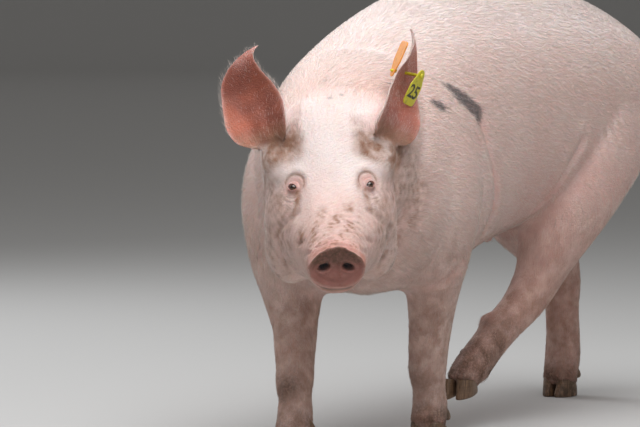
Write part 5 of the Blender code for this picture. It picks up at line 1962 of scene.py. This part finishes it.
def sweep(name):
    """A round floor that bends up into a wall: a flat run, a quarter circle and a straight rise, turned about z."""
    bend = np.linspace(0, 0.5 * math.pi, 16)
    far = np.concatenate([[0.5, 3, 7], FLOOR_REACH + FLOOR_BEND * np.sin(bend), [FLOOR_REACH + FLOOR_BEND]])
    high = np.concatenate([[0, 0, 0], FLOOR_BEND * (1 - np.cos(bend)), [WALL_TOP]])
    turns = np.linspace(0, 2 * math.pi, 96, endpoint=False)
    points = [np.outer(far, np.cos(turns)), np.outer(far, np.sin(turns)), np.outer(high, np.ones(96))]
    points = np.stack(points, axis=-1)
    ring, turn = np.meshgrid(np.arange(len(far) - 1), np.arange(96), indexing="ij")
    near, after = 96 * ring + turn, 96 * ring + (turn + 1) % 96
    quads = np.stack([near, near + 96, after + 96, after], axis=-1).reshape(-1, 4)
    return mesh_object(name, points.reshape(-1, 3), [quads, np.arange(96)[None]])


def lamp(name, place, target, size, power, colour):
    """A square area light at a place, which looks at a target."""
    made = linked(name, bpy.data.lights.new(name, "AREA"))
    made.data.size, made.data.energy, made.data.color = size, power, colour
    made.location = place
    made.rotation_euler = (Vector(target) - Vector(place)).to_track_quat("-Z", "Y").to_euler()


floor = sweep("floor")
paint, look = material("floor_paint")
look.shader(Base_Color=(0.5, 0.495, 0.485, 1), Roughness=0.75)
worn(floor, paint)
lamp("sky_panel", (1, -1.5, 4.6), (0, 0, 0.5), 4.2, 275, (0.975, 0.985, 1))
lamp("front_panel", (4.5, -5, 2.6), (0, -0.2, 0.5), 2.5, 36, (1, 0.99, 0.98))
lamp("rim_panel", (-3.5, 1.5, 2.8), (0, 0, 0.6), 2, 60, (0.95, 0.97, 1))
world = bpy.data.worlds.new("studio_air")
world.use_nodes = True
air = world.node_tree.nodes["Background"].inputs
air["Color"].default_value, air["Strength"].default_value = (0.87, 0.855, 0.84, 1), 0.27
bpy.context.scene.world = world
bpy.context.scene.view_settings.view_transform = "Standard"
print("floor, three lights and air")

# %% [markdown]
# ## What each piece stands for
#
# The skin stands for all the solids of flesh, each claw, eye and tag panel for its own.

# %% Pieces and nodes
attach(skin, "root")
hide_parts("head", "snout", "neck", "trunk_front", "trunk_middle", "trunk_rear", "tail", "ear_left", "ear_right",
            *[f"{leg}_{part}" for leg in FEET for part in ("upper", "foot")])
for piece, node in horn:
    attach(piece, "root")
    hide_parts(node)
for hand, piece in eyes.items():
    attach(piece, "root")
    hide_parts(f"eye_{SIDES[hand]}")
for piece, slot in ((tag_front, "tag_yellow"), (tag_pin, "tag_yellow"), (tag_number, "tag_yellow"),
                    (tag_back, "tag_orange")):
    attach(piece, "root")
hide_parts("ear_tag_front")
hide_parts("ear_tag_back")
for piece in coat_pieces:
    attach(piece, "root")
print("pieces placed", 1 + len(horn) + len(eyes) + 4 + len(coat_pieces))
